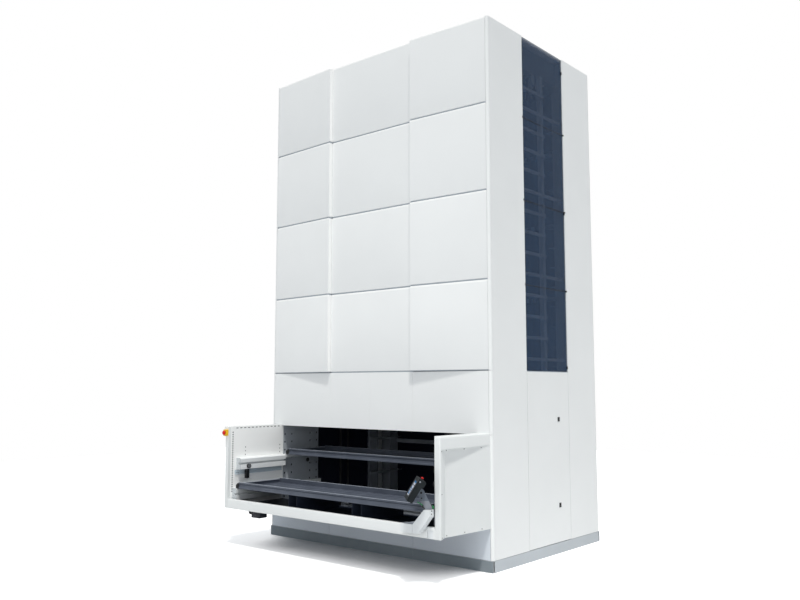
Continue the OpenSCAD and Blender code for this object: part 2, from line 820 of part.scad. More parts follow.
// Extractor: a tie bar with a hook block at each end, sliding along the carriage's rails
module extractor() color(steel) {
    end_x = lift_rail_x - slide_gap;
    block_w = 40;
    bar_w = 40;
    bar_h = 30;
    low = lift_rest_z - ledge_h + slide_gap;
    bar_x = end_x - block_w - weld_gap;
    tube([-bar_x, -bar_w / 2, low], [bar_x, bar_w / 2, low + bar_h], 0, upright_wall);
    both_sides() block([end_x - block_w, -hook_w / 2, low], [end_x, hook_w / 2, lift_rest_z + bar_h]);
}

// Trays

// Section of a tray's front rim, with its foot at the tray's front plane
module rim_section() {
    swage = 7;
    difference() {
        polygon([[0, 0], [0, tray_h * 0.2], [swage, tray_h * 0.28], [swage, tray_h * 0.72], [0, tray_h * 0.8],
            [0, tray_h], [tray_rim, tray_h], [tray_rim, 0]]);
        translate([swage + tray_t, tray_t]) square([tray_rim - swage - 2 * tray_t, tray_h - 2 * tray_t]);
    }
}

// A tray with its underside at z = 0: rims, floor, end plates and end bearers
module tray() {
    rim_y = tray_d / 2 - tray_rim - weld_gap;
    floor_x = body_x - tray_t - weld_gap;
    end_h = tray_h - 10;
    for (s = [0, 1]) mirror([0, s, 0]) translate([0, -tray_d / 2, 0]) yz_plate(-body_x, body_x) rim_section();
    block([-floor_x, -rim_y, ear_h - tray_t], [floor_x, rim_y, ear_h]);
    both_sides() {
        block([body_x - tray_t, -rim_y, 0], [body_x, rim_y, end_h]);
        tube([body_x + weld_gap, -tray_d / 2 + block_d, 0], [tray_x, tray_d / 2 - block_d, ear_h], 1, tray_t);
    }
}

// The black blocks at a tray's four corners
module tray_blocks() {
    low = tray_h * 0.55;
    high = tray_h * 0.9;
    both_sides() for (s = [0, 1]) mirror([0, s, 0]) xz_plate(-tray_d / 2, -tray_d / 2 + block_d)
        polygon([[body_x, 0], [tray_x, 0], [tray_x, low], [body_x + ear_w / 3, high], [body_x, high]]);
}

module lower_tray() color(dark) translate([0, outer_tray_y, lower_tray_z]) tray();
module lower_tray_blocks() color(black) translate([0, outer_tray_y, lower_tray_z]) tray_blocks();
module upper_tray() color(dark) translate([0, inner_tray_y, upper_tray_z]) tray();
module upper_tray_blocks() color(black) translate([0, inner_tray_y, upper_tray_z]) tray_blocks();

// Bay

// A side wall's planes, counted outwards: its outer face, the two faces of its front strip, the deepest
// place of its sunk cover, and the front edge of its lining
right_wall = [bay_x, bay_x - bay_post_t, bay_x, bay_x - bay_recess, cover_front - post_flange];
left_wall = [left_x, wall_x, wall_x + bay_post_t, left_x - bay_recess / 2, bay_front + liner_edge];
function outer(wall) = wall[0];
function strip_in(wall) = wall[1];
function strip_out(wall) = wall[2];
function sunk(wall) = wall[3];
function lining(wall) = wall[4];

// Plan of a wall's rounded front edge, from the front strip to a given outer plane, closed by the given tail
module edge_plan(wall, out, inset, tail) {
    r = bay_edge_r - inset;
    x0 = strip_in(wall) + inset;
    x1 = out - inset;
    xi = wall_x + inset;
    y0 = bay_front + inset;
    y1 = cover_front - post_flange + inset;
    inner = x0 > xi ? [[xi, y1], [x0, y1]] : [];
    polygon(concat([[x0, y0], [x1 - r, y0], [x1 - r, y0 + r], [x1, y0 + r]], tail, inner));
    translate([x1 - r, y0 + r]) circle(r);
}

// Front post: its outer face leans in towards the sunk cover
module bay_post(wall, inset) {
    y1 = cover_front - inset;
    edge_plan(wall, strip_out(wall), inset, [[sunk(wall) - inset, y1], [wall_x + inset, y1]]);
}

// Lip along the top, open at its rear end
module bay_lip(wall, inset, reach) {
    y1 = -half_d + reach;
    edge_plan(wall, outer(wall), inset, [[outer(wall) - inset, y1], [wall_x + inset, y1]]);
}

// One side of the bay: front post, top lip, bottom rail and the flange on the tower's upright
module bay_shell(wall) {
    rear = cover_front + weld_gap;
    post_h = lip_z - weld_gap - bay_bottom;
    translate([0, 0, bay_bottom]) linear_extrude(post_h) difference() {
        bay_post(wall, 0);
        bay_post(wall, sheet_t);
    }
    translate([0, 0, lip_z]) difference() {
        linear_extrude(bay_lip_h) bay_lip(wall, 0, 0);
        translate([0, 0, sheet_t]) linear_extrude(bay_lip_h - 2 * sheet_t) bay_lip(wall, sheet_t, past);
    }
    tube([wall_x, rear, bay_bottom], [sunk(wall) - 2 * sheet_t, -half_d, floor_z], 1, sheet_t);
    tube([wall_x, -half_d + weld_gap, bay_bottom], [trim_x, -frame_y, header_bottom - seam_gap], 2, sheet_t);
}

module bay_right_shell() color(white) bay_shell(right_wall);
module bay_left_shell() color(white) mirror([1, 0, 0]) bay_shell(left_wall);

// Outer side covers under the lips: sunk at the front, flush at the tower
module bay_cover(wall) {
    translate([0, 0, bay_bottom]) linear_extrude(lip_z - bay_bottom)
        polygon([[sunk(wall) - sheet_t, cover_front], [sunk(wall), cover_front],
            [outer(wall), -half_d], [outer(wall) - sheet_t, -half_d]]);
}

module bay_side_covers() color(white) {
    bay_cover(right_wall);
    mirror([1, 0, 0]) bay_cover(left_wall);
}

// Inner side walls with a row of slots under the top edge and up the front edge
module bay_lining(wall) {
    slot_l = 38;
    slot_h = 13;
    slot_pitch = 67;
    hole_w = 20;
    hole_h = 14;
    hole_pitch = 30;
    fixing_pitch = 50;
    y0 = lining(wall);
    top_row = bay_top - liner_edge + slot_h;
    front_row = y0 + 2 * hole_w;
    fixing_z = upper_tray_z + 2 * hole_h;
    fixing_top = fixing_z + 2 * fixing_pitch;
    difference() {
        union() {
            block([liner_x, y0, bay_bottom], [wall_x, -half_d, bay_top]);
            block([liner_x, -half_d - past, bay_bottom], [wall_x, -frame_y, header_bottom - seam_gap]);
        }
        for (y = [front_row + liner_edge:slot_pitch:-half_d - slot_pitch])
            block([liner_x - past, y, top_row], [wall_x + past, y + slot_l, top_row + slot_h]);
        for (z = [lower_tray_z - fixing_pitch:hole_pitch:top_row - hole_pitch])
            block([liner_x - past, front_row - hole_w, z], [wall_x + past, front_row, z + hole_h]);
        for (y = [-half_d - 0.7 * bay_d, -half_d - liner_edge], z = [fixing_z:fixing_pitch:fixing_top])
            block([liner_x - past, y, z], [wall_x + past, y + slot_h, z + hole_h]);
    }
}

module bay_liners() color(white) {
    bay_lining(right_wall);
    mirror([1, 0, 0]) bay_lining(left_wall);
}

module bay_apron() color(white)
    tube([-liner_x, bay_front, bay_bottom], [liner_x, bay_front + apron_d, bay_bottom + apron_h], 0, sheet_t);

// Outline of the rounded end piece that closes the apron's right end
module apron_end_outline(inset) {
    r = 0.7 * apron_d - inset;
    x0 = liner_x + inset;
    x1 = strip_in(right_wall) - inset;
    z0 = bay_bottom + inset;
    z1 = bay_bottom + apron_h - inset;
    polygon([[x0, z0], [x1, z0], [x1, z1 - r], [x1 - r, z1 - r], [x1 - r, z1], [x0, z1]]);
    translate([x1 - r, z1 - r]) circle(r);
}

module apron_end() color(white) difference() {
    xz_plate(bay_front, bay_front + apron_d) apron_end_outline(0);
    xz_plate(bay_front + sheet_t, bay_front + apron_d + past) apron_end_outline(sheet_t);
}

// Dark floor sheet of the bay, its cross bearers and the two supports under the lower tray
module bay_floor() color(dark) {
    floor_t = 3;
    y0 = bay_front + apron_d;
    bearer_w = 60;
    stay_x = 550;
    stay_w = 150;
    stay_in = 60;
    block([-liner_x, y0, floor_z], [liner_x, -frame_y, floor_z + floor_t]);
    for (y = [y0 + 1.5 * bearer_w, -half_d - 2.5 * bearer_w])
        tube([-liner_x, y, bay_bottom], [liner_x, y + bearer_w, floor_z - weld_gap], 0, floor_t);
    both_sides() tube([stay_x - stay_w / 2, y0 + stay_in, floor_z + floor_t + weld_gap],
        [stay_x + stay_w / 2, -half_d - stay_in, lower_tray_z - slide_gap], 1, floor_t);
}

// Section of a tray rail whose top carries the tray: two hollow lips with a groove between them
module rail_section(level) {
    wall = 4;
    top = level - slide_gap;
    low = top - tray_rail_h;
    groove = low + (tray_rail_h - rail_groove_h) / 2;
    groove_d = 40;
    bevel = 14;
    difference() {
        polygon([[liner_x, low], [bearer_x, low], [bearer_x, top - bevel],
            [bearer_x + bevel, top], [liner_x, top]]);
        translate([bearer_x - past, groove]) square([groove_d + past, rail_groove_h]);
        translate([bearer_x + bevel, groove + rail_groove_h + wall])
            square([liner_x - bearer_x - bevel - wall, top - groove - rail_groove_h - 2 * wall]);
        translate([bearer_x + wall, low + wall])
            square([liner_x - bearer_x - 2 * wall, groove - low - 2 * wall]);
    }
}

// A rail with the slim ledge that carries the tray on inside the tower
module tray_rail(start, level) {
    ledge_h = 45;
    top = level - slide_gap;
    xz_plate(start, -half_d) rail_section(level);
    block([bearer_x + ledge_h / 2, -half_d - past, top - ledge_h], [liner_x, -shaft_y, top]);
}

// A rail on each side at the given level: the right one starts further back, behind its wall's thicker part
module tray_rails(start, level) {
    mirror([1, 0, 0]) tray_rail(start, level);
    tray_rail(start + right_rail_in, level);
}

module upper_tray_rails() color(white) tray_rails(rail_front + apron_d, upper_tray_z);

module lower_tray_rails() color(white) tray_rails(rail_front, lower_tray_z);

// A screw head on a wall, facing outwards and turned with the wall
module screw(x, y, z, turn) {
    head_t = 3;
    translate([x, y, z]) rotate([0, 0, turn]) translate([weld_gap / 2, 0, 0]) rotate([0, 90, 0])
        cylinder(h = head_t, d = screw_d);
}

// Black screw heads along the edges of one side cover and on its front post
module wall_screws(wall) {
    edge = 20;
    low = bay_bottom + edge;
    high = lip_z - edge;
    lean = strip_out(wall) - sunk(wall);
    lean_l = bay_post_w - bay_edge_r;
    rise = outer(wall) - sunk(wall);
    cover_l = -half_d - cover_front;
    for (z = [low, (low + high) / 2, high])
        screw(strip_out(wall) - lean * edge / lean_l, bay_front + bay_edge_r + edge, z, atan2(lean, lean_l));
    for (f = [0.03, 0.41, 0.79], z = [low, high])
        screw(sunk(wall) + rise * f, cover_front + cover_l * f, z, -atan2(rise, cover_l));
}

module bay_screws() color(black) {
    wall_screws(right_wall);
    mirror([1, 0, 0]) wall_screws(left_wall);
}

// Tray sensors: a round eye on the rail's face and its black body under the rail, and a wall plug
module tray_sensors() color(black) both_sides() {
    y = -half_d - 0.71 * bay_d;
    eye_r = 30;
    eye_l = 25;
    eye_z = 40;
    body_w = 44;
    body_h = 125;
    body_in = 5;
    plug_t = 6;
    low = upper_tray_z - slide_gap - tray_rail_h;
    rod_x(bearer_x - eye_l, bearer_x, y, low + eye_z, eye_r);
    block([bearer_x + body_in, y - body_w / 2, low - body_h],
        [bearer_x + body_in + body_w, y + body_w / 2, low]);
    rod_x(liner_x - plug_t, liner_x, -shaft_y - upright_w - eye_r / 2, low + eye_z, eye_r);
}

// Black gearmotor hung under the bay near its left front corner
module bay_gearmotor() color(black) {
    motor_l = 90;
    motor_r = 38;
    gear_l = 170;
    gear_d = 140;
    gear_h = 100;
    x0 = -liner_x + 2.8 * motor_l;
    x1 = x0 + motor_l;
    y0 = bay_front + 2 * apron_d;
    block([x1, y0, bay_bottom - gear_h], [x1 + gear_l, y0 + gear_d, bay_bottom]);
    rod_x(x0, x1, y0 + gear_d / 2, bay_bottom - motor_r - past, motor_r);
}

// Emergency stop on the left front post

module stop_box() color([0.92, 0.74, 0.12]) difference() {
    block([stop_x - stop_box_w / 2, bay_front - stop_box_d, stop_z - stop_box_h / 2],
        [stop_x + stop_box_w / 2, bay_front, stop_z + stop_box_h / 2]);
    rod_y(bay_front - stop_box_d - past, bay_front - stop_box_d + stem_l + stop_travel + past,
        stop_x, stop_z, stem_r + run_gap);
}

// A red mushroom button along +Z: its stem starts below the face at z = 0
module mushroom(dia) {
    head_t = dia * 0.42;
    gap = stop_travel + 2;
    translate([0, 0, -stem_l]) cylinder(h = stem_l + gap, r = stem_r);
    translate([0, 0, gap]) cylinder(h = head_t / 2, d = dia);
    translate([0, 0, gap + head_t / 2]) cylinder(h = head_t / 2, d1 = dia, d2 = dia * 0.7);
}

module stop_button() color([0.78, 0.1, 0.08])
    translate([stop_x, bay_front - stop_box_d, stop_z]) rotate([90, 0, 0]) mushroom(mushroom_dia);

// Console on its two-part arm at the right front of the bay

// The white lower arm's outline in the XZ plane, drawn in by a sheet thickness where asked
module lower_arm_outline(inset) {
    foot_w = 80;
    head_h = 70;
    x0 = arm_foot_x;
    x1 = swivel_x - lower_arm_w / 2;
    x2 = swivel_x + lower_arm_w / 2;
    offset(delta = -inset) polygon([[x0, arm_base], [x0 + foot_w, arm_base], [x2, swivel_z - head_h],
        [x2, swivel_z], [x1, swivel_z], [x0, arm_base + arm_step]]);
}

// Bracket on the apron with the white lower arm and the boss that takes the swivel pin
module console_bracket() color(white) {
    y0 = swivel_y - lower_arm_t / 2;
    y1 = swivel_y + lower_arm_t / 2;
    wall = 3;
    boss_r = swivel_dia / 2 + 14;
    boss_h = 44;
    foot_l = 165;
    tube([arm_foot_x - foot_l, y0, arm_base], [arm_foot_x - weld_gap, bay_front, arm_base + arm_step], 2, wall);
    difference() {
        union() {
            difference() {
                xz_plate(y0, y1) lower_arm_outline(0);
                xz_plate(y0 + wall, y1 + past) lower_arm_outline(wall);
            }
            translate([swivel_x, swivel_y, swivel_z - boss_h]) cylinder(h = boss_h, r = boss_r);
        }
        translate([swivel_x, swivel_y, swivel_z - boss_h - past])
            cylinder(h = boss_h + 2 * past, r = swivel_dia / 2 + run_gap);
    }
}

// The arm's own frame: X towards the console, Z up, from the top of the lower arm
module arm_frame() {
    translate([swivel_x, swivel_y, swivel_z]) rotate([0, 0, console_yaw]) children();
}

// The console's own frame at its tilt pin: X along the screen's normal, Z up the screen
module head_frame() {
    arm_frame() translate([tilt_u, 0, tilt_h]) rotate([0, -console_tilt, 0]) children();
}

module console_arm() color([0.42, 0.44, 0.47]) arm_frame() {
    foot_t = 12;
    foot_back = -lower_arm_t / 2;
    foot_front = 62;
    pin_l = 40;
    translate([0, 0, -pin_l]) cylinder(h = pin_l + slide_gap, d = swivel_dia);
    translate([0, 0, slide_gap]) cylinder(h = foot_t - slide_gap, d = lower_arm_t - 4);
    xz_plate(-arm_t / 2, arm_t / 2) union() {
        polygon([[foot_back, foot_t], [foot_front, foot_t],
            [tilt_u + tilt_r, tilt_h], [tilt_u - tilt_r, tilt_h]]);
        translate([tilt_u, tilt_h]) circle(tilt_r);
    }
    translate([tilt_u, 0, tilt_h]) rotate([90, 0, 0])
        cylinder(h = arm_t + 2 * ear_t + 2 * pin_proud, d = tilt_pin_dia, center = true);
}

// The place of the stop button on the top of the console
module stop_frame() {
    translate([console_back + console_t / 2, 0, console_low + console_h]) children();
}

module console_housing() color(black) head_frame() {
    front = console_back + console_t;
    slab = front - console_slab_t;
    mid = console_low + console_h / 2;
    top = console_low + console_h;
    difference() {
        union() {
            block([slab, -console_w / 2, console_low], [front, console_w / 2, top]);
            block([console_back, -console_w / 2, console_step], [slab + past, console_w / 2, top]);
        }
        block([front - screen_t - screen_sink, -screen_w / 2, mid - screen_h / 2],
            [front + past, screen_w / 2, mid + screen_h / 2]);
        stop_frame() translate([0, 0, -stem_l - stop_travel - past])
            cylinder(h = stem_l + stop_travel + 2 * past, r = stem_r + run_gap);
    }
    for (s = [0, 1]) mirror([0, s, 0]) difference() {
        y0 = arm_t / 2 + slide_gap;
        union() {
            block([0, y0, -tilt_r], [slab, y0 + ear_t, tilt_r]);
            rod_y(y0, y0 + ear_t, 0, 0, tilt_r);
        }
        rod_y(y0 - past, y0 + ear_t + past, 0, 0, tilt_pin_dia / 2 + run_gap);
    }
}

module console_screen() color([0.35, 0.55, 0.75]) head_frame() {
    front = console_back + console_t - screen_sink;
    mid = console_low + console_h / 2;
    block([front - screen_t, -screen_w / 2, mid - screen_h / 2], [front, screen_w / 2, mid + screen_h / 2]);
}

module console_stop_button() color([0.78, 0.1, 0.08]) head_frame() stop_frame() mushroom(small_mushroom_dia);

base_frame();
plinth_skirt();
front_uprights();
rear_uprights();
bay_zone_liners();
guide_posts();
side_rungs();
tray_ledges();
top_frame();
cladding_rails();
roof_panels();
front_left_panels();
front_centre_panels();
front_right_panels();
header_panels();
lower_front_panels();
rear_panels();
left_side_panels();
right_side_panels();
window_panes();
window_clips();
corner_trims();
door_pivots();
electrical_cabinet();
lift_gearmotor();
belt_bearings();
lift_belts();
bay_left_shell();
bay_right_shell();
bay_side_covers();
bay_liners();
bay_apron();
apron_end();
bay_floor();
upper_tray_rails();
lower_tray_rails();
bay_screws();
tray_sensors();
bay_gearmotor();
stop_box();
console_bracket();
service_door();
latch_bezels();
upper_latch();
lower_latch();
drive_shaft();
top_pulleys();
lift_carriage();
front_guide_rollers();
rear_guide_rollers();
extractor();
lower_tray();
lower_tray_blocks();
upper_tray();
upper_tray_blocks();
stop_button();
console_arm();
console_housing();
console_screen();
console_stop_button();
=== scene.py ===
"""Studio scene of the vertical lift module: its finishes, fine pieces, light and camera."""

import json
import math

import bmesh
import bpy
from mathutils import Matrix, Vector


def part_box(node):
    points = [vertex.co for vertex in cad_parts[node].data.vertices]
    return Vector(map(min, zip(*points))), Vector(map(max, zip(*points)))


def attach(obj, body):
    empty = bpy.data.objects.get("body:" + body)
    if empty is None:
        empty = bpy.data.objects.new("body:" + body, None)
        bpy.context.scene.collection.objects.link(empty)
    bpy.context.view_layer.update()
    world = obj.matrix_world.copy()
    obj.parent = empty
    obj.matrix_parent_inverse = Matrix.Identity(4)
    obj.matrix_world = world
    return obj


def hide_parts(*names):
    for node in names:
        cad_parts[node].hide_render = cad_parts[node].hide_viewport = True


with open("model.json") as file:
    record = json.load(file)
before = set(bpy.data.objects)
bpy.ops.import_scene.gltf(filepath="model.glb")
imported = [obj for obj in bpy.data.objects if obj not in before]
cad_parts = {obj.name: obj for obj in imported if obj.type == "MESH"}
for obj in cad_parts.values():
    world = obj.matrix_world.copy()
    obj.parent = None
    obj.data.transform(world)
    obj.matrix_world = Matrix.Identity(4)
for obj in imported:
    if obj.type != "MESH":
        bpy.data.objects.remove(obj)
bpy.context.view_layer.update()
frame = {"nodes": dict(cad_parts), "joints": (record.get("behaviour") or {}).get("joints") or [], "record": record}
nodes = frame["nodes"]
scene = bpy.context.scene


# Sizes taken from the frame

def low(node):
    """Lowest corner of a CAD node."""
    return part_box(node)[0]


def high(node):
    """Highest corner of a CAD node."""
    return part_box(node)[1]


HALF_W = high("right_side_panels").x
FRONT_Y = low("front_centre_panels").y
FRAME_Y = high("front_centre_panels").y
WEDGE_Y = low("front_right_panels").y
TRIM_X = high("front_right_panels").x
WEDGE_X = low("front_right_panels").x
CENTRE_X = high("front_centre_panels").x
TOWER_H = high("front_centre_panels").z
PANEL_TOP_R = 0.014
PANEL_TOP_TALL = 1.8
PANEL_LOW_R = 0.006
ROW_GAP = low("front_centre_panels").z - high("header_panels").z
HEADER_Z = (low("front_centre_panels").z + high("header_panels").z) / 2
PANE_Z = sorted({round(v.co.z, 4) for v in nodes["window_panes"].data.vertices})
JOINT_Z = [(a + b) / 2 for a, b in zip(PANE_Z[1::2], PANE_Z[2::2])]
ROWS = len(JOINT_Z) + 1
HEADER_LOW = low("header_panels").z
BAY_FRONT = low("bay_right_shell").y
BAY_LOW = low("bay_right_shell").z
BAY_TOP = high("bay_right_shell").z
BAY_X = high("bay_right_shell").x
LEFT_X = -low("bay_side_covers").x
WALL_X = low("bay_right_shell").x
LINER_T = 0.003
LINER_X = high("bay_liners").x - LINER_T
LIP_Z = high("bay_side_covers").z
COVER_FRONT = low("bay_side_covers").y
POST_T = 0.07
POST_FLANGE = 0.03
EDGE_R = 0.018
SINK = 0.06
RIGHT_WALL = {"outer": BAY_X, "strip_in": BAY_X - POST_T, "strip_out": BAY_X, "sunk": BAY_X - SINK}
LEFT_WALL = {"outer": LEFT_X, "strip_in": WALL_X, "strip_out": WALL_X + POST_T, "sunk": LEFT_X - SINK / 2}
RAIL_D = 0.087
RIGHT_RAIL_IN = 0.15
APRON_D = high("bay_apron").y - BAY_FRONT
APRON_TOP = high("bay_apron").z
JOINTS = {j["name"]: j for j in frame["joints"]}
SWIVEL = Vector(JOINTS["console_swivel"]["pos_m"])
TILT = Vector(JOINTS["console_tilt"]["pos_m"])
PRESS = Vector(JOINTS["console_stop_press"]["axis"])
EAR_IN, EAR_OUT = 0.0203, 0.0323


def frame_matrix(x, y, z, origin):
    """Matrix with these axes at that place."""
    m = Matrix((x, y, z)).transposed().to_4x4()
    return Matrix.Translation(origin) @ m


TILT_AXIS = Vector(JOINTS["console_tilt"]["axis"]).normalized()
UP = Vector((0, 0, 1))
ARM_FRAME = frame_matrix(TILT_AXIS.cross(UP), TILT_AXIS, UP, SWIVEL)
HEAD_UP = -PRESS.normalized()
HEAD_FRAME = frame_matrix(TILT_AXIS.cross(HEAD_UP), TILT_AXIS, HEAD_UP, TILT)


def local_points(node, matrix):
    """The corners of a CAD node in another frame."""
    back = matrix.inverted()
    return [back @ v.co for v in nodes[node].data.vertices]


def local_box(node, matrix):
    """Lowest and highest corner of a CAD node in another frame."""
    points = local_points(node, matrix)
    return Vector(map(min, zip(*points))), Vector(map(max, zip(*points)))


# Finishes

def linear(r, g, b):
    """Linear colour of an sRGB triple from 0 to 255."""
    def one(c):
        c /= 255
        return c / 12.92 if c <= 0.04045 else ((c + 0.055) / 1.055) ** 2.4
    return one(r), one(g), one(b), 1.0


def new_material(name):
    """An empty node material: (material, tree, shader, object coordinates)."""
    mat = bpy.data.materials.new(name)
    mat.use_nodes = True
    tree = mat.node_tree
    coord = tree.nodes.new("ShaderNodeTexCoord")
    return mat, tree, tree.nodes["Principled BSDF"], coord.outputs["Object"]


def noise(tree, where, scale, detail=3.0):
    """Noise texture at that scale, in features to the metre."""
    n = tree.nodes.new("ShaderNodeTexNoise")
    n.inputs["Scale"].default_value = scale
    n.inputs["Detail"].default_value = detail
    tree.links.new(where, n.inputs["Vector"])
    return n.outputs["Fac"]


def ramp(tree, fac, stops):
    """Colour ramp through (place, colour) stops."""
    r = tree.nodes.new("ShaderNodeValToRGB")
    while len(r.color_ramp.elements) < len(stops):
        r.color_ramp.elements.new(0.5)
    for e, (place, colour) in zip(r.color_ramp.elements, stops):
        e.position = place
        e.color = colour
    tree.links.new(fac, r.inputs["Fac"])
    return r.outputs["Color"]


def spread(tree, fac, lo, hi):
    """Noise spread between two values."""
    m = tree.nodes.new("ShaderNodeMapRange")
    m.inputs["From Min"].default_value = 0.3
    m.inputs["From Max"].default_value = 0.7
    m.inputs["To Min"].default_value = lo
    m.inputs["To Max"].default_value = hi
    tree.links.new(fac, m.inputs["Value"])
    return m.outputs["Result"]


def bump(tree, shader, height, distance):
    """Fine relief of that depth in metres."""
    b = tree.nodes.new("ShaderNodeBump")
    b.inputs["Strength"].default_value = 0.6
    b.inputs["Distance"].default_value = distance
    tree.links.new(height, b.inputs["Height"])
    tree.links.new(b.outputs["Normal"], shader.inputs["Normal"])


def coat(tree, shader, tone, rough):
    """Feeds colour and roughness to the shader."""
    tree.links.new(tone, shader.inputs["Base Color"])
    tree.links.new(rough, shader.inputs["Roughness"])


def finish(name, dark, light, rough, patch=2.5, grain=500.0, depth=0.0002, specular=0.5):
    """Finish with soft tone patches between two sRGB colours, uneven sheen and fine relief."""
    mat, tree, shader, where = new_material(name)
    tone = ramp(tree, noise(tree, where, patch), [(0.32, linear(*dark)), (0.68, linear(*light))])
    coat(tree, shader, tone, spread(tree, noise(tree, where, patch * 7, 4), *rough))
    bump(tree, shader, noise(tree, where, grain, 2), depth)
    shader.inputs["Specular IOR Level"].default_value = specular
    return mat


def powder_coat(name, dark, light, patch):
    """Smooth coat of the white and pale sheet-metal panels."""
    return finish(name, dark, light, (0.42, 0.54), patch=patch, grain=420, depth=0.00012, specular=0.3)


def galvanised_sheet():
    """Zinc-coated steel with its spangle."""
    mat, tree, shader, where = new_material("galvanised")
    cells = tree.nodes.new("ShaderNodeTexVoronoi")
    cells.inputs["Scale"].default_value = 70
    tree.links.new(where, cells.inputs["Vector"])
    spangle = [(0.1, linear(150, 156, 164)), (0.7, linear(178, 184, 190))]
    tone = ramp(tree, cells.outputs["Distance"], spangle)
    coat(tree, shader, tone, spread(tree, noise(tree, where, 40, 4), 0.38, 0.55))
    bump(tree, shader, noise(tree, where, 300, 2), 0.0002)
    shader.inputs["Metallic"].default_value = 0.65
    return mat


def tinted_pane():
    """Dark tinted pane that lets a little of the frame behind it show."""
    mat, tree, shader, where = new_material("tinted_pane")
    tone = ramp(tree, noise(tree, where, 1.3), [(0.3, linear(34, 61, 91)), (0.7, linear(38, 66, 97))])
    coat(tree, shader, tone, spread(tree, noise(tree, where, 6, 4), 0.1, 0.2))
    bump(tree, shader, noise(tree, where, 2.0, 1), 0.0006)
    shader.inputs["Specular IOR Level"].default_value = 0.12
    shader.inputs["Alpha"].default_value = 0.54
    return mat


def screen_glass():
    """Lit screen with a pale page."""
    mat, tree, shader, where = new_material("screen")
    page = [(0.35, linear(186, 196, 214)), (0.65, linear(212, 217, 228))]
    tone = ramp(tree, noise(tree, where, 16, 1.5), page)
    tree.links.new(tone, shader.inputs["Emission Color"])
    coat(tree, shader, tone, spread(tree, noise(tree, where, 30, 3), 0.12, 0.2))
    bump(tree, shader, noise(tree, where, 200, 2), 0.00002)
    shader.inputs["Emission Strength"].default_value = 0.2
    return mat


def belt_rubber():
    """Black toothed belt."""
    mat, tree, shader, where = new_material("belt_black")
    teeth = tree.nodes.new("ShaderNodeTexWave")
    teeth.bands_direction = "Z"
    teeth.inputs["Scale"].default_value = 30
    tree.links.new(where, teeth.inputs["Vector"])
    tone = ramp(tree, teeth.outputs["Fac"], [(0.2, linear(20, 20, 22)), (0.8, linear(44, 44, 47))])
    coat(tree, shader, tone, spread(tree, noise(tree, where, 60, 3), 0.55, 0.75))
    bump(tree, shader, teeth.outputs["Fac"], 0.002)
    return mat


WHITE = powder_coat("white_panel", (235, 237, 237), (239, 241, 241), 0.7)
# Brighter copy of the white paint: painted light on the bay's inner walls, painted highlight on the panels' top
# edges and the columns' returns.
LIT_WHITE = powder_coat("white_painted_light", (246, 247, 246), (250, 251, 250), 0.9)
# Bluish copy of the white paint on the lower front panels: painted blue shade under the bay.
BLUE_SHADE_WHITE = powder_coat("white_painted_blue_shade", (222, 230, 238), (227, 234, 242), 0.9)
BAND = finish("band_grey", (196, 208, 216), (204, 215, 223), (0.4, 0.55), patch=4, specular=0.3)
SEAM = finish("seam_grey", (172, 179, 187), (179, 186, 194), (0.6, 0.75), patch=3, specular=0.2)
SLOT_DARK = finish("slot_shadow", (22, 26, 33), (32, 36, 43), (0.6, 0.8), patch=6, specular=0.1)
SLOT_SOFT = finish("slot_half_shadow", (48, 53, 60), (58, 63, 70), (0.6, 0.8), patch=6, specular=0.1)
RUNG = finish("rung_grey", (184, 190, 200), (196, 202, 212), (0.45, 0.6), specular=0.3)
# Dark blue-grey on the bay floor pan: painted shade under the trays.
DECK_SHADE = finish("bay_floor_painted_shade", (40, 47, 62), (50, 57, 72), (0.4, 0.55), patch=2, specular=0.3)
# Near-black sheets inside the shaft and behind the upright holes: painted shade where no light reaches.
SHAFT_SHADE = finish("shaft_painted_shade", (9, 13, 26), (14, 19, 34), (0.6, 0.8), patch=1.5, specular=0.1)
PLINTH = finish("plinth_grey", (186, 192, 197), (193, 199, 204), (0.5, 0.62), patch=1.5, specular=0.25)
# Pale grey of the lower arm and its bracket; on the apron end's sunk face it is painted shade.
PALE_AND_RECESS_SHADE = powder_coat("pale_grey_and_recess_shade", (220, 224, 226), (226, 230, 232), 1.5)
# Slightly darker copy of the white paint on the bay's walls, covers and apron: painted shade.
BAY_SHADED_WHITE = powder_coat("bay_white_painted_shade", (224, 227, 227), (229, 232, 232), 0.9)
CAP = finish("rail_cap_grey", (190, 195, 198), (197, 202, 205), (0.42, 0.54), patch=3, specular=0.3)
RAIL = finish("rail_grey", (226, 229, 230), (232, 235, 236), (0.42, 0.54), patch=1.5, specular=0.3)
POST = finish("upright_grey", (162, 168, 175), (170, 176, 183), (0.45, 0.6), patch=4, specular=0.3)
# Darker grey on the plinth's front: painted shade under the bay.
KICK_SHADE = finish("kick_painted_shade", (133, 142, 148), (141, 150, 156), (0.5, 0.65), patch=2, specular=0.2)
STEEL = finish("frame_grey", (142, 148, 157), (154, 160, 168), (0.45, 0.6), specular=0.3)
ZINC = galvanised_sheet()
TRAY = finish("tray_grey", (72, 78, 90), (82, 88, 100), (0.45, 0.6), patch=4, specular=0.25)
# Lighter grey on the trays' rolled edges: painted highlight.
TRAY_EDGE_HIGHLIGHT = finish("tray_edge_painted_highlight", (156, 163, 174), (168, 175, 185), (0.4, 0.55), patch=6, specular=0.3)
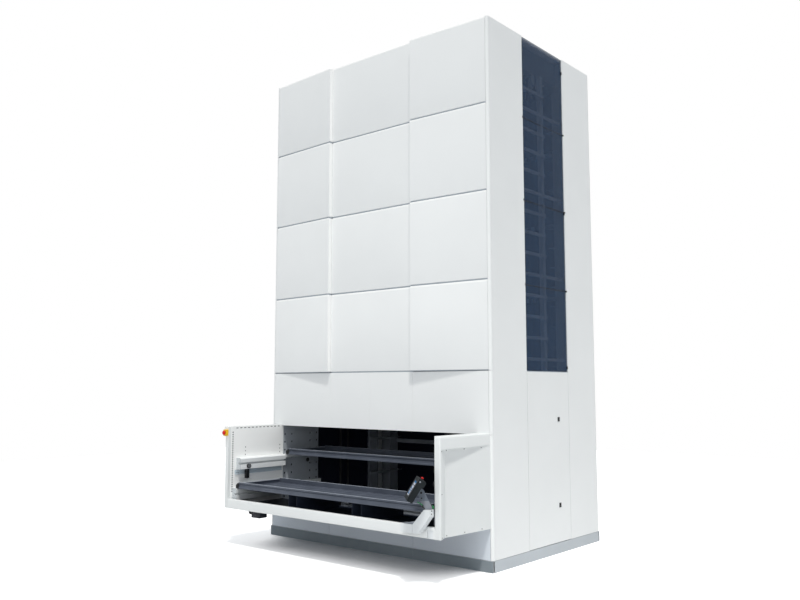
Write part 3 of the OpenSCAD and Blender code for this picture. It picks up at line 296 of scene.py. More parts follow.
# Dark grey sheet; on the trays' fold lines it is painted shade.
DARK_SHEET_AND_SHADE = finish("dark_sheet", (40, 46, 56), (50, 56, 66), (0.5, 0.7), patch=4, specular=0.2)
MOTOR = finish("motor_black", (28, 31, 37), (40, 43, 50), (0.4, 0.6), patch=20, specular=0.25)
PLASTIC = finish("black_plastic", (14, 16, 19), (22, 24, 28), (0.4, 0.6), patch=20, grain=900,
                 specular=0.25)
ROLLER = finish("roller_grey", (92, 95, 100), (110, 113, 118), (0.45, 0.6), patch=20)
BELT = belt_rubber()
PANE = tinted_pane()
RED = finish("stop_red", (196, 20, 18), (212, 28, 24), (0.3, 0.42), patch=40, grain=900, specular=0.3)
YELLOW = finish("stop_yellow", (236, 184, 20), (244, 196, 34), (0.38, 0.5), patch=30, grain=900)
CHARCOAL = finish("console_charcoal", (20, 25, 28), (29, 34, 37), (0.5, 0.65), patch=14, grain=1100,
                  specular=0.15)
SCREEN = screen_glass()
FIELD_BLUE = finish("screen_blue", (52, 118, 176), (66, 134, 190), (0.2, 0.3), patch=30, grain=900)
FIELD_DARK = finish("screen_navy", (34, 50, 80), (44, 60, 92), (0.2, 0.3), patch=30, grain=900)
ARM = finish("arm_grey", (96, 104, 115), (108, 116, 127), (0.45, 0.6), patch=9, specular=0.2)
FOOT = finish("arm_foot_grey", (126, 131, 139), (136, 141, 149), (0.45, 0.6), patch=9, specular=0.2)
GREEN = finish("earth_wire", (14, 116, 58), (30, 140, 74), (0.4, 0.55), patch=60, grain=900)
RUBBER = finish("cable_black", (16, 17, 19), (24, 25, 28), (0.5, 0.65), patch=60, grain=900)

SLOT_FINISH = {
    "white_panel": WHITE, "plinth_grey": PLINTH, "frame_grey": STEEL, "galvanised": ZINC, "tray_grey": TRAY,
    "dark_sheet": DARK_SHEET_AND_SHADE, "motor_black": MOTOR, "black_plastic": PLASTIC, "roller_grey": ROLLER,
    "belt_black": BELT, "tinted_pane": PANE, "stop_red": RED, "stop_yellow": YELLOW,
    "console_charcoal": CHARCOAL, "screen": SCREEN, "arm_grey": ARM,
}
# Painted light and shade in this table: brighter white on the bay liners, bluish white on the lower front panels,
# darker white on the side covers, dark grey on the bay floor.
NODE_FINISH = {
    "bay_liners": LIT_WHITE, "upper_tray_rails": RAIL, "lower_tray_rails": RAIL, "lower_front_panels": BLUE_SHADE_WHITE,
    "front_uprights": POST, "bay_zone_liners": POST, "bay_side_covers": BAY_SHADED_WHITE,
    "side_rungs": RUNG, "guide_posts": RUNG, "bay_floor": DECK_SHADE,
}


def node_slots():
    """The record's slot of each CAD node."""
    return {part["node"]: part["material_slot"] for part in frame["record"]["subparts"]}


def paint_nodes():
    """Gives each CAD node its own finish, or that of its slot."""
    for name, slot in node_slots().items():
        mesh = nodes[name].data
        mesh.materials.clear()
        mesh.materials.append(NODE_FINISH.get(name, SLOT_FINISH[slot]))


# Building pieces

def plan(u, v, w):
    """Outline in X and Y, thickness along Z."""
    return Vector((u, v, w))


def front(u, v, w):
    """Outline in X and Z, thickness along Y."""
    return Vector((u, w, v))


def side(u, v, w):
    """Outline in Y and Z, thickness along X."""
    return Vector((w, u, v))


def mirrored(place):
    """The same placing on the other side of the tower's middle plane."""
    def flip(u, v, w):
        p = place(u, v, w)
        return Vector((-p.x, p.y, p.z))
    return flip


def within(matrix, place):
    """The same placing in another frame."""
    return lambda u, v, w: matrix @ place(u, v, w)


def angles(steps, span=math.pi / 2):
    """Equal angles from 0 to the span."""
    return [span * i / steps for i in range(steps + 1)]


def loft(bm, rings, place):
    """Adds a closed skin through (outline, level) rings with equal numbers of points."""
    loops = [[bm.verts.new(place(u, v, w)) for u, v in outline] for outline, w in rings]
    bm.faces.new(loops[0])
    bm.faces.new(loops[-1][::-1])
    n = len(loops[0])
    for a, b in zip(loops, loops[1:]):
        for i in range(n):
            j = (i + 1) % n
            bm.faces.new((a[i], b[i], b[j], a[j]))


def prism(bm, outline, lo, hi, place):
    """Adds a prism on an outline."""
    loft(bm, [(outline, lo), (outline, hi)], place)


def eased(outline, lo, hi, low_r, high_r, tall=1.0, steps=4):
    """Rings of a prism with rounded end edges: outline(inset) gives the points, tall stretches the top."""
    quarter = angles(steps)
    start = [(outline(low_r * (1 - math.sin(a))), lo + low_r * (1 - math.cos(a))) for a in quarter]
    end = [(outline(high_r * (1 - math.cos(a))), hi - tall * high_r * (1 - math.sin(a))) for a in quarter]
    return (start if low_r else start[:1]) + (end if high_r else end[:1])


def box(bm, lo, hi):
    """Adds a box between two corners."""
    prism(bm, [(lo[0], lo[1]), (hi[0], lo[1]), (hi[0], hi[1]), (lo[0], hi[1])], lo[2], hi[2], plan)


def surround(bm, outer, inner, lo, hi, place):
    """Adds four strips between an outer and an inner rectangle, each as (u0, u1, v0, v1)."""
    a0, a1, b0, b1 = outer
    c0, c1, d0, d1 = inner
    for u0, u1, v0, v1 in ((a0, c0, b0, b1), (c1, a1, b0, b1), (c0, c1, b0, d0), (c0, c1, d1, b1)):
        prism(bm, [(u0, v0), (u1, v0), (u1, v1), (u0, v1)], lo, hi, place)


def rounded(x0, y0, x1, y1, r, steps=6):
    """Outline of a rectangle with rounded corners."""
    points = []
    corners = ((x1 - r, y0 + r, -90), (x1 - r, y1 - r, 0), (x0 + r, y1 - r, 90), (x0 + r, y0 + r, 180))
    for cx, cy, start in corners:
        for i in range(steps + 1):
            a = math.radians(start + 90 * i / steps)
            points.append((cx + r * math.cos(a), cy + r * math.sin(a)))
    return points


def lathe(bm, profile, matrix, steps=32):
    """Adds a turned shape from (radius, height) points along the matrix's Z."""
    rings = []
    for r, h in profile:
        if r == 0:
            rings.append([bm.verts.new(matrix @ Vector((0, 0, h)))])
            continue
        turn = [2 * math.pi * i / steps for i in range(steps)]
        rings.append([bm.verts.new(matrix @ Vector((r * math.cos(a), r * math.sin(a), h))) for a in turn])
    for a, b in zip(rings, rings[1:]):
        for i in range(steps):
            j = (i + 1) % steps
            corners = [a[i % len(a)], a[j % len(a)], b[j % len(b)], b[i % len(b)]]
            bm.faces.new(list(dict.fromkeys(corners)))
    for ring in (rings[0], rings[-1]):
        if len(ring) > 1:
            bm.faces.new(ring)


def facing(place, towards):
    """Matrix at a place whose Z looks in the given direction."""
    return Matrix.Translation(place) @ Vector(towards).to_track_quat("Z", "Y").to_matrix().to_4x4()


def piece(name, bm, material, body="tower", soft=0.0, steps=3, stands_for=()):
    """Makes an object of the mesh, with softened edges, that rides on a body."""
    bmesh.ops.recalc_face_normals(bm, faces=bm.faces)
    mesh = bpy.data.meshes.new(name)
    bm.to_mesh(mesh)
    bm.free()
    mesh.materials.append(material)
    mesh.shade_smooth()
    mesh.set_sharp_from_angle(angle=math.radians(35))
    ob = bpy.data.objects.new(name, mesh)
    scene.collection.objects.link(ob)
    if soft:
        m = ob.modifiers.new("softened edges", "BEVEL")
        m.width = soft
        m.segments = steps
        m.limit_method = "ANGLE"
        m.angle_limit = math.radians(40)
        m.harden_normals = True
    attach(ob, body)
    if stands_for:
        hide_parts(*stands_for)
    return ob


def row_span(i):
    """Lower and upper edge of a front panel row."""
    lo = (JOINT_Z[i - 1] if i else HEADER_Z) + ROW_GAP / 2
    hi = TOWER_H if i == ROWS - 1 else JOINT_Z[i] - ROW_GAP / 2
    return lo, hi


# Cladding

def front_panels():
    """The twelve front panels: flat middle column, wedge-shaped outer columns, top edges well rounded and in
    brighter white, a painted highlight.
    """
    def flat(i):
        x, y = CENTRE_X - i, FRONT_Y + i
        return [(-x, y), (x, y), (x, FRAME_Y), (-x, FRAME_Y)]

    def wedge(i):
        x0, x1 = WEDGE_X + i, TRIM_X - i
        return [(x0, WEDGE_Y + i), (x1, FRONT_Y + i), (x1, FRAME_Y), (x0, FRAME_Y)]

    edge_h = PANEL_TOP_TALL * PANEL_TOP_R
    lap = 0.006
    tiny = 1e-6
    columns = (("centre", flat, plan), ("right", wedge, plan), ("left", wedge, mirrored(plan)))
    for name, outline, place in columns:
        body, edge = bmesh.new(), bmesh.new()
        for i in range(ROWS):
            lo, hi = row_span(i)
            rings = eased(outline, lo, hi, PANEL_LOW_R, PANEL_TOP_R, PANEL_TOP_TALL)
            split = next(k for k, (_, z) in enumerate(rings) if z > hi - edge_h - tiny)
            loft(body, [*rings[:split + 1], (outline(lap / 3), hi - edge_h + lap)], place)
            loft(edge, [(outline(lap / 3), hi - edge_h - lap), *rings[split:]], place)
        piece(f"front_{name}_cladding", body, WHITE, soft=0.004, steps=2,
              stands_for=(f"front_{name}_panels",))
        # The rounded top edges are in the brighter white: a painted highlight.
        piece(f"front_{name}_top_edge_highlights", edge, LIT_WHITE)


def column_return_highlights():
    """Thin strips in brighter white on the inner returns of the outer columns: a painted highlight."""
    skin = 0.0008
    bm = bmesh.new()
    for i in range(ROWS):
        lo, hi = row_span(i)
        for s in (-1, 1):
            x0, x1 = sorted((s * WEDGE_X, s * (WEDGE_X - skin)))
            box(bm, (x0, WEDGE_Y + PANEL_LOW_R, lo + PANEL_LOW_R),
                (x1, FRONT_Y + PANEL_TOP_R, hi - PANEL_TOP_R))
    piece("column_return_highlights", bm, LIT_WHITE)


def joint_backing():
    """Pale sheets behind the row joints: flat in the middle, sloping behind the outer columns."""
    depth = 0.014
    z0, z1 = HEADER_Z - ROW_GAP, JOINT_Z[-1] + ROW_GAP
    inner = WEDGE_X + PANEL_LOW_R
    wedge = [(inner, WEDGE_Y + depth), (TRIM_X, FRONT_Y + depth), (TRIM_X, FRAME_Y), (inner, FRAME_Y)]
    bm = bmesh.new()
    box(bm, (-CENTRE_X, FRONT_Y + depth, z0), (CENTRE_X, FRAME_Y, z1))
    for place in (plan, mirrored(plan)):
        prism(bm, wedge, z0 + ROW_GAP, z1, place)
    piece("row_joint_backing", bm, SEAM)


def header():
    """The four header panels over the bay opening."""
    seam = 0.0006
    seams = [-TRIM_X, -CENTRE_X, 0, CENTRE_X, TRIM_X]
    bm = bmesh.new()
    for a, b in zip(seams, seams[1:]):
        box(bm, (a + seam, FRONT_Y, HEADER_LOW), (b - seam, FRAME_Y, high("header_panels").z))
    piece("header_cladding", bm, WHITE, soft=0.0015, steps=2, stands_for=("header_panels",))


def plinth_shade_strips():
    """Darker grey strips along the front of the plinth: painted shade under the bay."""
    seam = 0.001
    skin = 0.0012
    inset = 0.003
    top = high("plinth_skirt").z - inset
    seams = [inset - HALF_W, -CENTRE_X, 0, CENTRE_X, HALF_W - inset]
    bm = bmesh.new()
    for a, b in zip(seams, seams[1:]):
        box(bm, (a + seam, FRONT_Y - skin, inset), (b - seam, FRONT_Y - skin / 6, top))
    piece("plinth_shade_strips", bm, KICK_SHADE, soft=0.0004, steps=2)


# Side of the tower

def door_seal():
    """Pale seal in the gap above the service door and on its latch side."""
    lo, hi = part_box("service_door")
    gap, free = 0.008, 0.001
    depth = 0.004
    x = HALF_W - 0.006
    latch_side = (hi.y + free, hi.y + gap, lo.z, hi.z)
    above = (lo.y - gap, hi.y + gap, hi.z + free, hi.z + gap)
    bm = bmesh.new()
    for y0, y1, z0, z1 in (latch_side, above):
        box(bm, (x - depth, y0, z0), (x, y1, z1))
    piece("door_seal", bm, SEAM, soft=0.001)


def pane_joints():
    """Thin black strips in the joints of the side panes, each with a clip at both ends."""
    half = (high("window_panes").y - low("window_panes").y) / 2
    x = high("window_panes").x
    strip, clip, clip_r = 0.004, 0.011, 0.004
    clip_in, clip_out = 0.006, 0.014
    sunk, proud, over = 0.002, 0.001, 0.002
    bm = bmesh.new()
    for z in JOINT_Z:
        bar = [(-half, z - strip), (half, z - strip), (half, z + strip), (-half, z + strip)]
        for place in (side, mirrored(side)):
            prism(bm, bar, x - sunk, x + proud, place)
            for s in (-1, 1):
                y0, y1 = sorted((s * (half - clip_in), s * (half + clip_out)))
                prism(bm, rounded(y0, z - clip, y1, z + clip, clip_r), x + proud, HALF_W + over, place)
    piece("pane_joint_strips", bm, PLASTIC)


# Picking bay

def edge_outline(wall, out, inset, tail):
    """Plan of a bay wall's rounded front edge, closed by the tail points."""
    r = EDGE_R - inset
    x0 = wall["strip_in"] + inset
    xi = WALL_X + inset
    y0 = BAY_FRONT + inset
    y1 = COVER_FRONT - POST_FLANGE + inset
    tiny = 1e-6
    arc = [(out - inset - r + r * math.sin(a), y0 + r - r * math.cos(a)) for a in angles(6)]
    inner = [(xi, y1), (x0, y1)] if x0 > xi + tiny else []
    return [(x0, y0), *arc, *tail, *inner]


def bay_wall(name, wall, place):
    """One side of the bay: front post, rounded lip, bottom rail and the flange on the tower."""
    out, deep = wall["outer"], wall["sunk"]
    rail_top = 0.52
    step = 0.004
    foot_r, lip_r = 0.006, 0.012

    def post(inset):
        y = COVER_FRONT - inset
        return edge_outline(wall, wall["strip_out"], inset, [(deep - inset, y), (WALL_X + inset, y)])

    def lip(inset):
        return edge_outline(wall, out, inset, [(out - inset, FRONT_Y), (WALL_X + inset, FRONT_Y)])

    bm = bmesh.new()
    loft(bm, eased(post, BAY_LOW, LIP_Z, foot_r, 0.0), place)
    loft(bm, eased(lip, LIP_Z, BAY_TOP, 0.0, lip_r), place)
    rail = [(WALL_X, COVER_FRONT), (deep - step, COVER_FRONT), (deep - step, FRONT_Y), (WALL_X, FRONT_Y)]
    prism(bm, rail, BAY_LOW, rail_top, place)
    flange = [(WALL_X, FRONT_Y), (TRIM_X, FRONT_Y), (TRIM_X, FRAME_Y), (WALL_X, FRAME_Y)]
    prism(bm, flange, BAY_LOW, HEADER_LOW - step, place)
    piece(name, bm, BAY_SHADED_WHITE, stands_for=(f"bay_{name.split('_')[1]}_shell",))


def bay_walls():
    """Both sides of the bay."""
    bay_wall("bay_right_wall", RIGHT_WALL, plan)
    bay_wall("bay_left_wall", LEFT_WALL, mirrored(plan))


def apron():
    """Front beam of the bay with eased edges."""
    edge_r = 0.01
    bm = bmesh.new()
    prism(bm, rounded(BAY_FRONT, BAY_LOW, BAY_FRONT + APRON_D, APRON_TOP, edge_r), -LINER_X, LINER_X, side)
    piece("apron_cladding", bm, BAY_SHADED_WHITE, stands_for=("bay_apron",))


def apron_corner():
    """Rounded right end of the apron: a rim around a sunk face in pale grey, which is painted shade."""
    lo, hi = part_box("apron_end")
    r, rim = 0.042, 0.03
    recess, skin, free = 0.008, 0.0006, 0.001

    def corner(radius):
        return [(hi.x - r + radius * math.cos(a), hi.z - r + radius * math.sin(a)) for a in angles(8)]

    bm = bmesh.new()
    prism(bm, [(lo.x, lo.z), (hi.x, lo.z), *corner(r), (lo.x, hi.z)], lo.y + recess, hi.y, front)
    edge = [(hi.x - rim, lo.z), (hi.x, lo.z), *corner(r), (lo.x, hi.z), (lo.x, hi.z - rim)]
    prism(bm, edge + corner(r - rim)[::-1], lo.y, lo.y + recess, front)
    piece("apron_end_cladding", bm, BAY_SHADED_WHITE, soft=0.003, stands_for=("apron_end",))
    foot = lo.z + 2 * free
    # The sunk face is pale grey: painted shade of the recess.
    face = [(lo.x + free, foot), (hi.x - rim, foot), *corner(r - rim), (lo.x + free, hi.z - rim)]
    bm = bmesh.new()
    prism(bm, face, lo.y + recess - skin, lo.y + recess, front)
    piece("apron_end_face", bm, PALE_AND_RECESS_SHADE)


def liner_slots():
    """Dark backing that shows through the slots of the bay's inner walls and of the uprights: painted shadow in
    the slots and holes.
    """
    skin = 0.0012
    slot_top, slot_h, slot_start, slot_end = BAY_TOP - 0.0185, 0.008, 0.07, FRONT_Y - 0.01
    column_w, column_low, column_top = 0.05, BAY_LOW + 0.1, BAY_TOP - 0.06
    column_y = {-1: BAY_FRONT + 0.046, 1: COVER_FRONT - POST_FLANGE + 0.004}
    peg_columns, pegs_low, pegs_top = (FRONT_Y - 0.664, FRONT_Y - 0.046), 1.15, 1.32
    pegs_w = 0.034
    sheet_in, sheet_out = WALL_X + 0.004, WALL_X + 0.006
    upright_w, flange = 0.2, 0.006
    near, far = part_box("front_uprights")
    tops, columns, holes = bmesh.new(), bmesh.new(), bmesh.new()
    for s in (-1, 1):
        x0, x1 = sorted((s * WALL_X, s * (WALL_X - skin)))
        y0 = column_y[s]
        box(tops, (x0, y0 + slot_start, slot_top - slot_h), (x1, slot_end, slot_top))
        box(columns, (x0, y0, column_low), (x1, y0 + column_w, column_top))
        for y in peg_columns:
            box(columns, (x0, y, pegs_low), (x1, y + pegs_w, pegs_top))
        x0, x1 = sorted((s * sheet_in, s * sheet_out))
        for y in (near.y, far.y - upright_w):
            box(holes, (x0, y + flange, BAY_LOW), (x1, y + upright_w - flange, HEADER_LOW))
    piece("slot_shadow_backing", tops, SLOT_DARK)
    piece("column_shadow_backing", columns, SLOT_SOFT)
    piece("upright_hole_shade_backing", holes, SHAFT_SHADE)


def rail_caps(level):
    """End caps of one pair of tray rails, with the rails' groove."""
    cap, ease = 0.003, 0.014
    groove_h, groove_d = 0.026, 0.04
    lo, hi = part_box(f"{level}_tray_rails")
    inner = hi.x - RAIL_D
    groove = (lo.z + hi.z - groove_h) / 2
    outline = [(LINER_X, lo.z), (inner, lo.z), (inner, groove), (inner + groove_d, groove),
               (inner + groove_d, groove + groove_h), (inner, groove + groove_h),
               (inner, hi.z - ease), (inner + ease, hi.z), (LINER_X, hi.z)]
    bm = bmesh.new()
    for place, start in ((mirrored(front), lo.y), (front, lo.y + RIGHT_RAIL_IN)):
        prism(bm, outline, start - cap, start, place)
    piece(f"{level}_rail_caps", bm, CAP)


def rail_band():
    """Pale band with a folded foot and two slots, under the left upper rail."""
    rail = low("upper_tray_rails")
    x, start = -LINER_X, rail.y - 0.03
    z0, z1 = rail.z - 0.066, rail.z - 0.012
    skin, foot_d = 0.003, 0.012
    bm = bmesh.new()
    prism(bm, rounded(start, z0, FRONT_Y, z1, 0.006), x, x + skin, side)
    prism(bm, rounded(start, z0 - 0.004, FRONT_Y, z0 + 0.006, 0.004), x, x + foot_d, side)
    piece("rail_band", bm, BAND, soft=0.001)
    slot_l, slot_h, slot_r, pitch = 0.016, 0.008, 0.003, 0.03
    slot_y, slot_z = start + 0.018, z0 + 0.012
    # The slots are dark strips: painted shadow.
    bm = bmesh.new()
    for y in (slot_y, slot_y + pitch):
        prism(bm, rounded(y, slot_z, y + slot_l, slot_z + slot_h, slot_r), x + skin, x + 1.2 * skin, side)
    piece("rail_band_slots", bm, SLOT_DARK)


def sensor_eyes():
    """Round eyes of the tray sensors on the upper rails."""
    r, ring, thick = 0.025, 0.021, 0.004
    profile = [(r, 0), (r, thick / 2), (ring, thick), (0.012, thick), (0.011, thick / 2), (0, thick / 2)]
    x = LINER_X - RAIL_D - r
    y = low("tray_sensors").y + 0.03
    z = low("upper_tray_rails").z + 0.04
    bm = bmesh.new()
    for s in (-1, 1):
        lathe(bm, profile, facing((s * x, y, z), (-s, 0, 0)))
    piece("sensor_eyes", bm, ROLLER)


def dark_shaft():
    """Near-black inner sheets at the back and on both sides of the shaft: painted shade where no light reaches."""
    rear = low("rear_panels").y
    foot, head = 0.14, TOWER_H - 0.1
    near, far = 0.001, 0.006
    side_in, side_out, half_d = 1.735, 1.74, 0.56
    bm = bmesh.new()
    box(bm, (-WALL_X, rear - far, foot), (WALL_X, rear - near, head))
    for s in (-1, 1):
        x0, x1 = sorted((s * side_in, s * side_out))
        box(bm, (x0, -half_d, foot), (x1, half_d, HEADER_Z))
    piece("shaft_shade_sheets", bm, SHAFT_SHADE, soft=0.001)


def screw_heads():
    """Domed black screws with a socket along the edges of the side covers."""
    edge = 0.02
    along = (0.03, 0.41, 0.79)
    head = [(0.0055, 0), (0.0055, 0.0012), (0.0045, 0.003), (0.0026, 0.0034), (0.0024, 0.0016), (0, 0.0016)]
    z_low, z_high = BAY_LOW + edge, LIP_Z - edge
    lean_l = COVER_FRONT - BAY_FRONT - EDGE_R
    cover_l = FRONT_Y - COVER_FRONT
    bm = bmesh.new()
    for wall, s in ((RIGHT_WALL, 1), (LEFT_WALL, -1)):
        lean = wall["strip_out"] - wall["sunk"]
        rise = wall["outer"] - wall["sunk"]
        spots = [(wall["strip_out"] - lean * edge / lean_l, BAY_FRONT + EDGE_R + edge, z, (lean_l, lean))
                 for z in (z_low, (z_low + z_high) / 2, z_high)]
        spots += [(wall["sunk"] + rise * f, COVER_FRONT + cover_l * f, z, (cover_l, -rise))
                  for f in along for z in (z_low, z_high)]
        for x, y, z, (nx, ny) in spots:
            lathe(bm, head, facing((s * x, y, z), (s * nx, ny, 0)), 20)
    piece("cover_screws", bm, PLASTIC, stands_for=("bay_screws",))


# Trays

def tray_dress(level):
    """Rolled edges in lighter grey as a painted highlight, a dark fold line as painted shade, and pressed floor
    ribs of one tray, which ride on it.
    """
    body = f"{level}_tray"
    lo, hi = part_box(body)
    body_x = hi.x - 0.06
    bead, bead_r = 0.008, 0.006
    end_in, end_t, end_low, end_top, end_r = 0.03, 0.012, 0.018, 0.006, 0.005
    bm = bmesh.new()
    for y in (lo.y + bead, hi.y - bead):
        bar = rounded(y - bead, hi.z - 1.4 * bead, y + bead, hi.z + 0.3 * bead, bead_r)
        prism(bm, bar, -body_x, body_x, side)
    for s in (-1, 1):
        x0, x1 = sorted((s * body_x, s * (body_x - end_t)))
        end = rounded(x0, hi.z - end_low, x1, hi.z - end_top, end_r)
        prism(bm, end, lo.y + end_in, hi.y - end_in, front)
    # The rolled edges are lighter grey: a painted highlight.
    piece(f"{body}_edges", bm, TRAY_EDGE_HIGHLIGHT, body=body)
    # The fold line is a dark strip: painted shade in the crease.
    fold = lo.z + 0.72 * (hi.z - lo.z)
    fold_y0, fold_y1 = lo.y + 0.0052, lo.y + 0.0075
    bm = bmesh.new()
    prism(bm, rounded(fold_y0, fold - 0.006, fold_y1, fold + 0.002, 0.001), -body_x, body_x, side)
    piece(f"{body}_fold", bm, DARK_SHEET_AND_SHADE, body=body)
    ribs = 20
    rib_half, rib_end, rib_r = 0.02, 0.04, 0.018
    rib_low, rib_top = lo.z + 0.0195, lo.z + 0.0225
    bm = bmesh.new()
    for i in range(ribs):
        x = -body_x + 2 * body_x * (i + 0.5) / ribs
        rib = rounded(x - rib_half, lo.y + rib_end, x + rib_half, hi.y - rib_end, rib_r)
        prism(bm, rib, rib_low, rib_top, plan)
    piece(f"{body}_ribs", bm, TRAY, body=body, soft=0.0015, steps=2)


# Emergency stops

HEAD_GAP = 0.008


def mushroom_head(bm, at, r, gap, height):
    """Domed mushroom head with a stem, a rim and a crown, above the face at z = 0."""
    stem_r, stem_in = 0.011, 0.012
    rim = gap + 0.35 * height
    dome = [(r * math.cos(a), rim + 0.65 * height * math.sin(a)) for a in angles(8)[:-1]]
    lathe(bm, [(stem_r, -stem_in), (stem_r, gap), (r * 0.93, gap), (r, gap + 0.12 * height), *dome,
               (0, gap + height)], at, 40)


def bay_stop():
    """Yellow box with its red mushroom button, collar and lid screws on the left front edge."""
    lo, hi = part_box("stop_box")
    mid = (lo + hi) / 2
    lid = 0.012
    groove = 0.0012
    corner_r = 0.008
    outline = rounded(lo.x, lo.z, hi.x, hi.z, corner_r)
    bm = bmesh.new()
    prism(bm, outline, lo.y + lid + groove, hi.y, front)
    prism(bm, outline, lo.y, lo.y + lid, front)
    piece("stop_housing", bm, YELLOW, soft=0.0025, stands_for=("stop_box",))
    outward = (0, -1, 0)
    sunk = 0.0005
    collar = [(0.0, 0.0), (0.019, 0.0), (0.019, 0.003), (0.016, 0.0045), (0.0, 0.0045)]
    screw = [(0.0035, 0.0), (0.0035, 0.001), (0.002, 0.0016), (0, 0.0016)]
    screw_x, screw_z = 0.024, 0.035
    bm = bmesh.new()
    lathe(bm, collar, facing((mid.x, lo.y + sunk, mid.z), outward))
    for sx in (-1, 1):
        for sz in (-1, 1):
            lathe(bm, screw, facing((mid.x + sx * screw_x, lo.y, mid.z + sz * screw_z), outward), 16)
    piece("stop_collar", bm, PLASTIC)
    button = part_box("stop_button")
    dia = button[1].x - button[0].x
    bm = bmesh.new()
    mushroom_head(bm, facing((mid.x, lo.y, mid.z), outward), dia / 2, HEAD_GAP, 0.38 * dia)
    piece("stop_mushroom", bm, RED, body="stop_button", stands_for=("stop_button",))


# Console

CASE_BOX = local_box("console_housing", HEAD_FRAME)
GLASS_BOX = local_box("console_screen", HEAD_FRAME)


def slab_back():
    """Back of the console's slim lower part, in the console's own frame."""
    hair = 0.0005
    points = local_points("console_housing", HEAD_FRAME)
    return min(p.x for p in points if p.z < CASE_BOX[0].z + hair)


def console_case():
    """Charcoal case: slim slab with a deeper box behind its upper part, and a raised bezel."""
    points = local_points("console_housing", HEAD_FRAME)
    lo, hi = CASE_BOX
    glass_lo, glass_hi = GLASS_BOX
    hair = 0.0005
    x_slab = slab_back()
    x_back = min(p.x for p in points if p.z > hi.z - hair)
    step_z = min(p.z for p in points if p.x < x_back + hair and p.y > hi.y - hair)
    ease = 0.01
    slope = 0.018
    face = glass_lo.x - 0.001
    profile = [(face, lo.z), (face, hi.z), (x_back + ease, hi.z), (x_back, hi.z - ease),
               (x_back, step_z + slope), (x_slab, step_z), (x_slab, lo.z + ease), (x_slab + ease, lo.z)]
    bm = bmesh.new()
    prism(bm, profile, lo.y, hi.y, within(HEAD_FRAME, front))
    surround(bm, (lo.y, hi.y, lo.z, hi.z), (glass_lo.y, glass_hi.y, glass_lo.z, glass_hi.z), face, hi.x,
             within(HEAD_FRAME, side))
    piece("console_case", bm, CHARCOAL, body="console", soft=0.003, steps=2,
          stands_for=("console_housing",))


def console_ears():
    """Two round-ended ears behind the case, around the head of the upper arm."""
    x = slab_back()
    r = -CASE_BOX[0].x
    arc = [(r * math.cos(a), r * math.sin(a)) for a in (math.pi / 2 + b for b in angles(10, math.pi))]
    bm = bmesh.new()
    for s in (-1, 1):
        prism(bm, [(x, -r), (x, r), *arc], *sorted((s * EAR_IN, s * EAR_OUT)), within(HEAD_FRAME, front))
    piece("console_ears", bm, ARM, body="console", soft=0.002, steps=2)


def screen_page():
    """Black border of the screen and the plain fields of its page."""
    lo, hi = GLASS_BOX
    border = 0.22 * (hi.y - lo.y)
    margin = 0.05 * (hi.z - lo.z)
    border_t, field_t = 0.0005, 0.0004
    y0, y1, z0, z1 = lo.y + border, hi.y - border, lo.z + margin, hi.z - margin
    place = within(HEAD_FRAME, side)
    bm = bmesh.new()
    surround(bm, (lo.y, hi.y, lo.z, hi.z), (y0, y1, z0, z1), hi.x, hi.x + border_t, place)
    piece("screen_border", bm, PLASTIC, body="console")
    blue = [(0, 1, 0.88, 1)] + [(0.06, 0.46, 0.08 + 0.18 * i, 0.2 + 0.18 * i) for i in range(3)]
    navy = [(0.06, 0.94, 0.7, 0.74)] + [(0.54, 0.94, 0.08 + 0.12 * i, 0.14 + 0.12 * i) for i in range(4)]
    for name, fields, colour in (("blue", blue, FIELD_BLUE), ("navy", navy, FIELD_DARK)):
        bm = bmesh.new()
        for a0, a1, b0, b1 in fields:
            shares = ((a0, b0), (a1, b0), (a1, b1), (a0, b1))
            corners = [(y0 + (y1 - y0) * a, z0 + (z1 - z0) * b) for a, b in shares]
            prism(bm, corners, hi.x, hi.x + field_t, place)
        piece(f"screen_fields_{name}", bm, colour, body="console")


def console_side_button():
    """Small round button on the console's side."""
    hi = CASE_BOX[1]
    r, thick = 0.009, 0.0045
    spot = HEAD_FRAME @ Vector((hi.x - 0.022, hi.y, hi.z - 0.028))
    side_way = HEAD_FRAME.to_3x3() @ Vector((0, 1, 0))
    bm = bmesh.new()
    lathe(bm, [(r, 0), (r, thick / 1.5), (r * 0.8, thick), (0, thick)], facing(spot, side_way), 24)
    piece("console_side_button", bm, FOOT, body="console")


def console_stop():
    """Small red mushroom on the console's top edge."""
    lo, hi = local_box("console_stop_button", HEAD_FRAME)
    dia = hi.x - lo.x
    at = HEAD_FRAME @ Matrix.Translation(((lo.x + hi.x) / 2, (lo.y + hi.y) / 2, CASE_BOX[1].z))
    bm = bmesh.new()
    mushroom_head(bm, at, 0.88 * dia / 2, HEAD_GAP, 0.44 * dia)
    piece("console_mushroom", bm, RED, body="console_stop_button",
          stands_for=("console_stop_button",))
    collar = [(0.0, 0.0), (0.018, 0.0), (0.018, 0.002), (0.0155, 0.004), (0.0, 0.004)]
    bm = bmesh.new()
    lathe(bm, collar, at)
    piece("console_stop_collar", bm, PLASTIC, body="console")


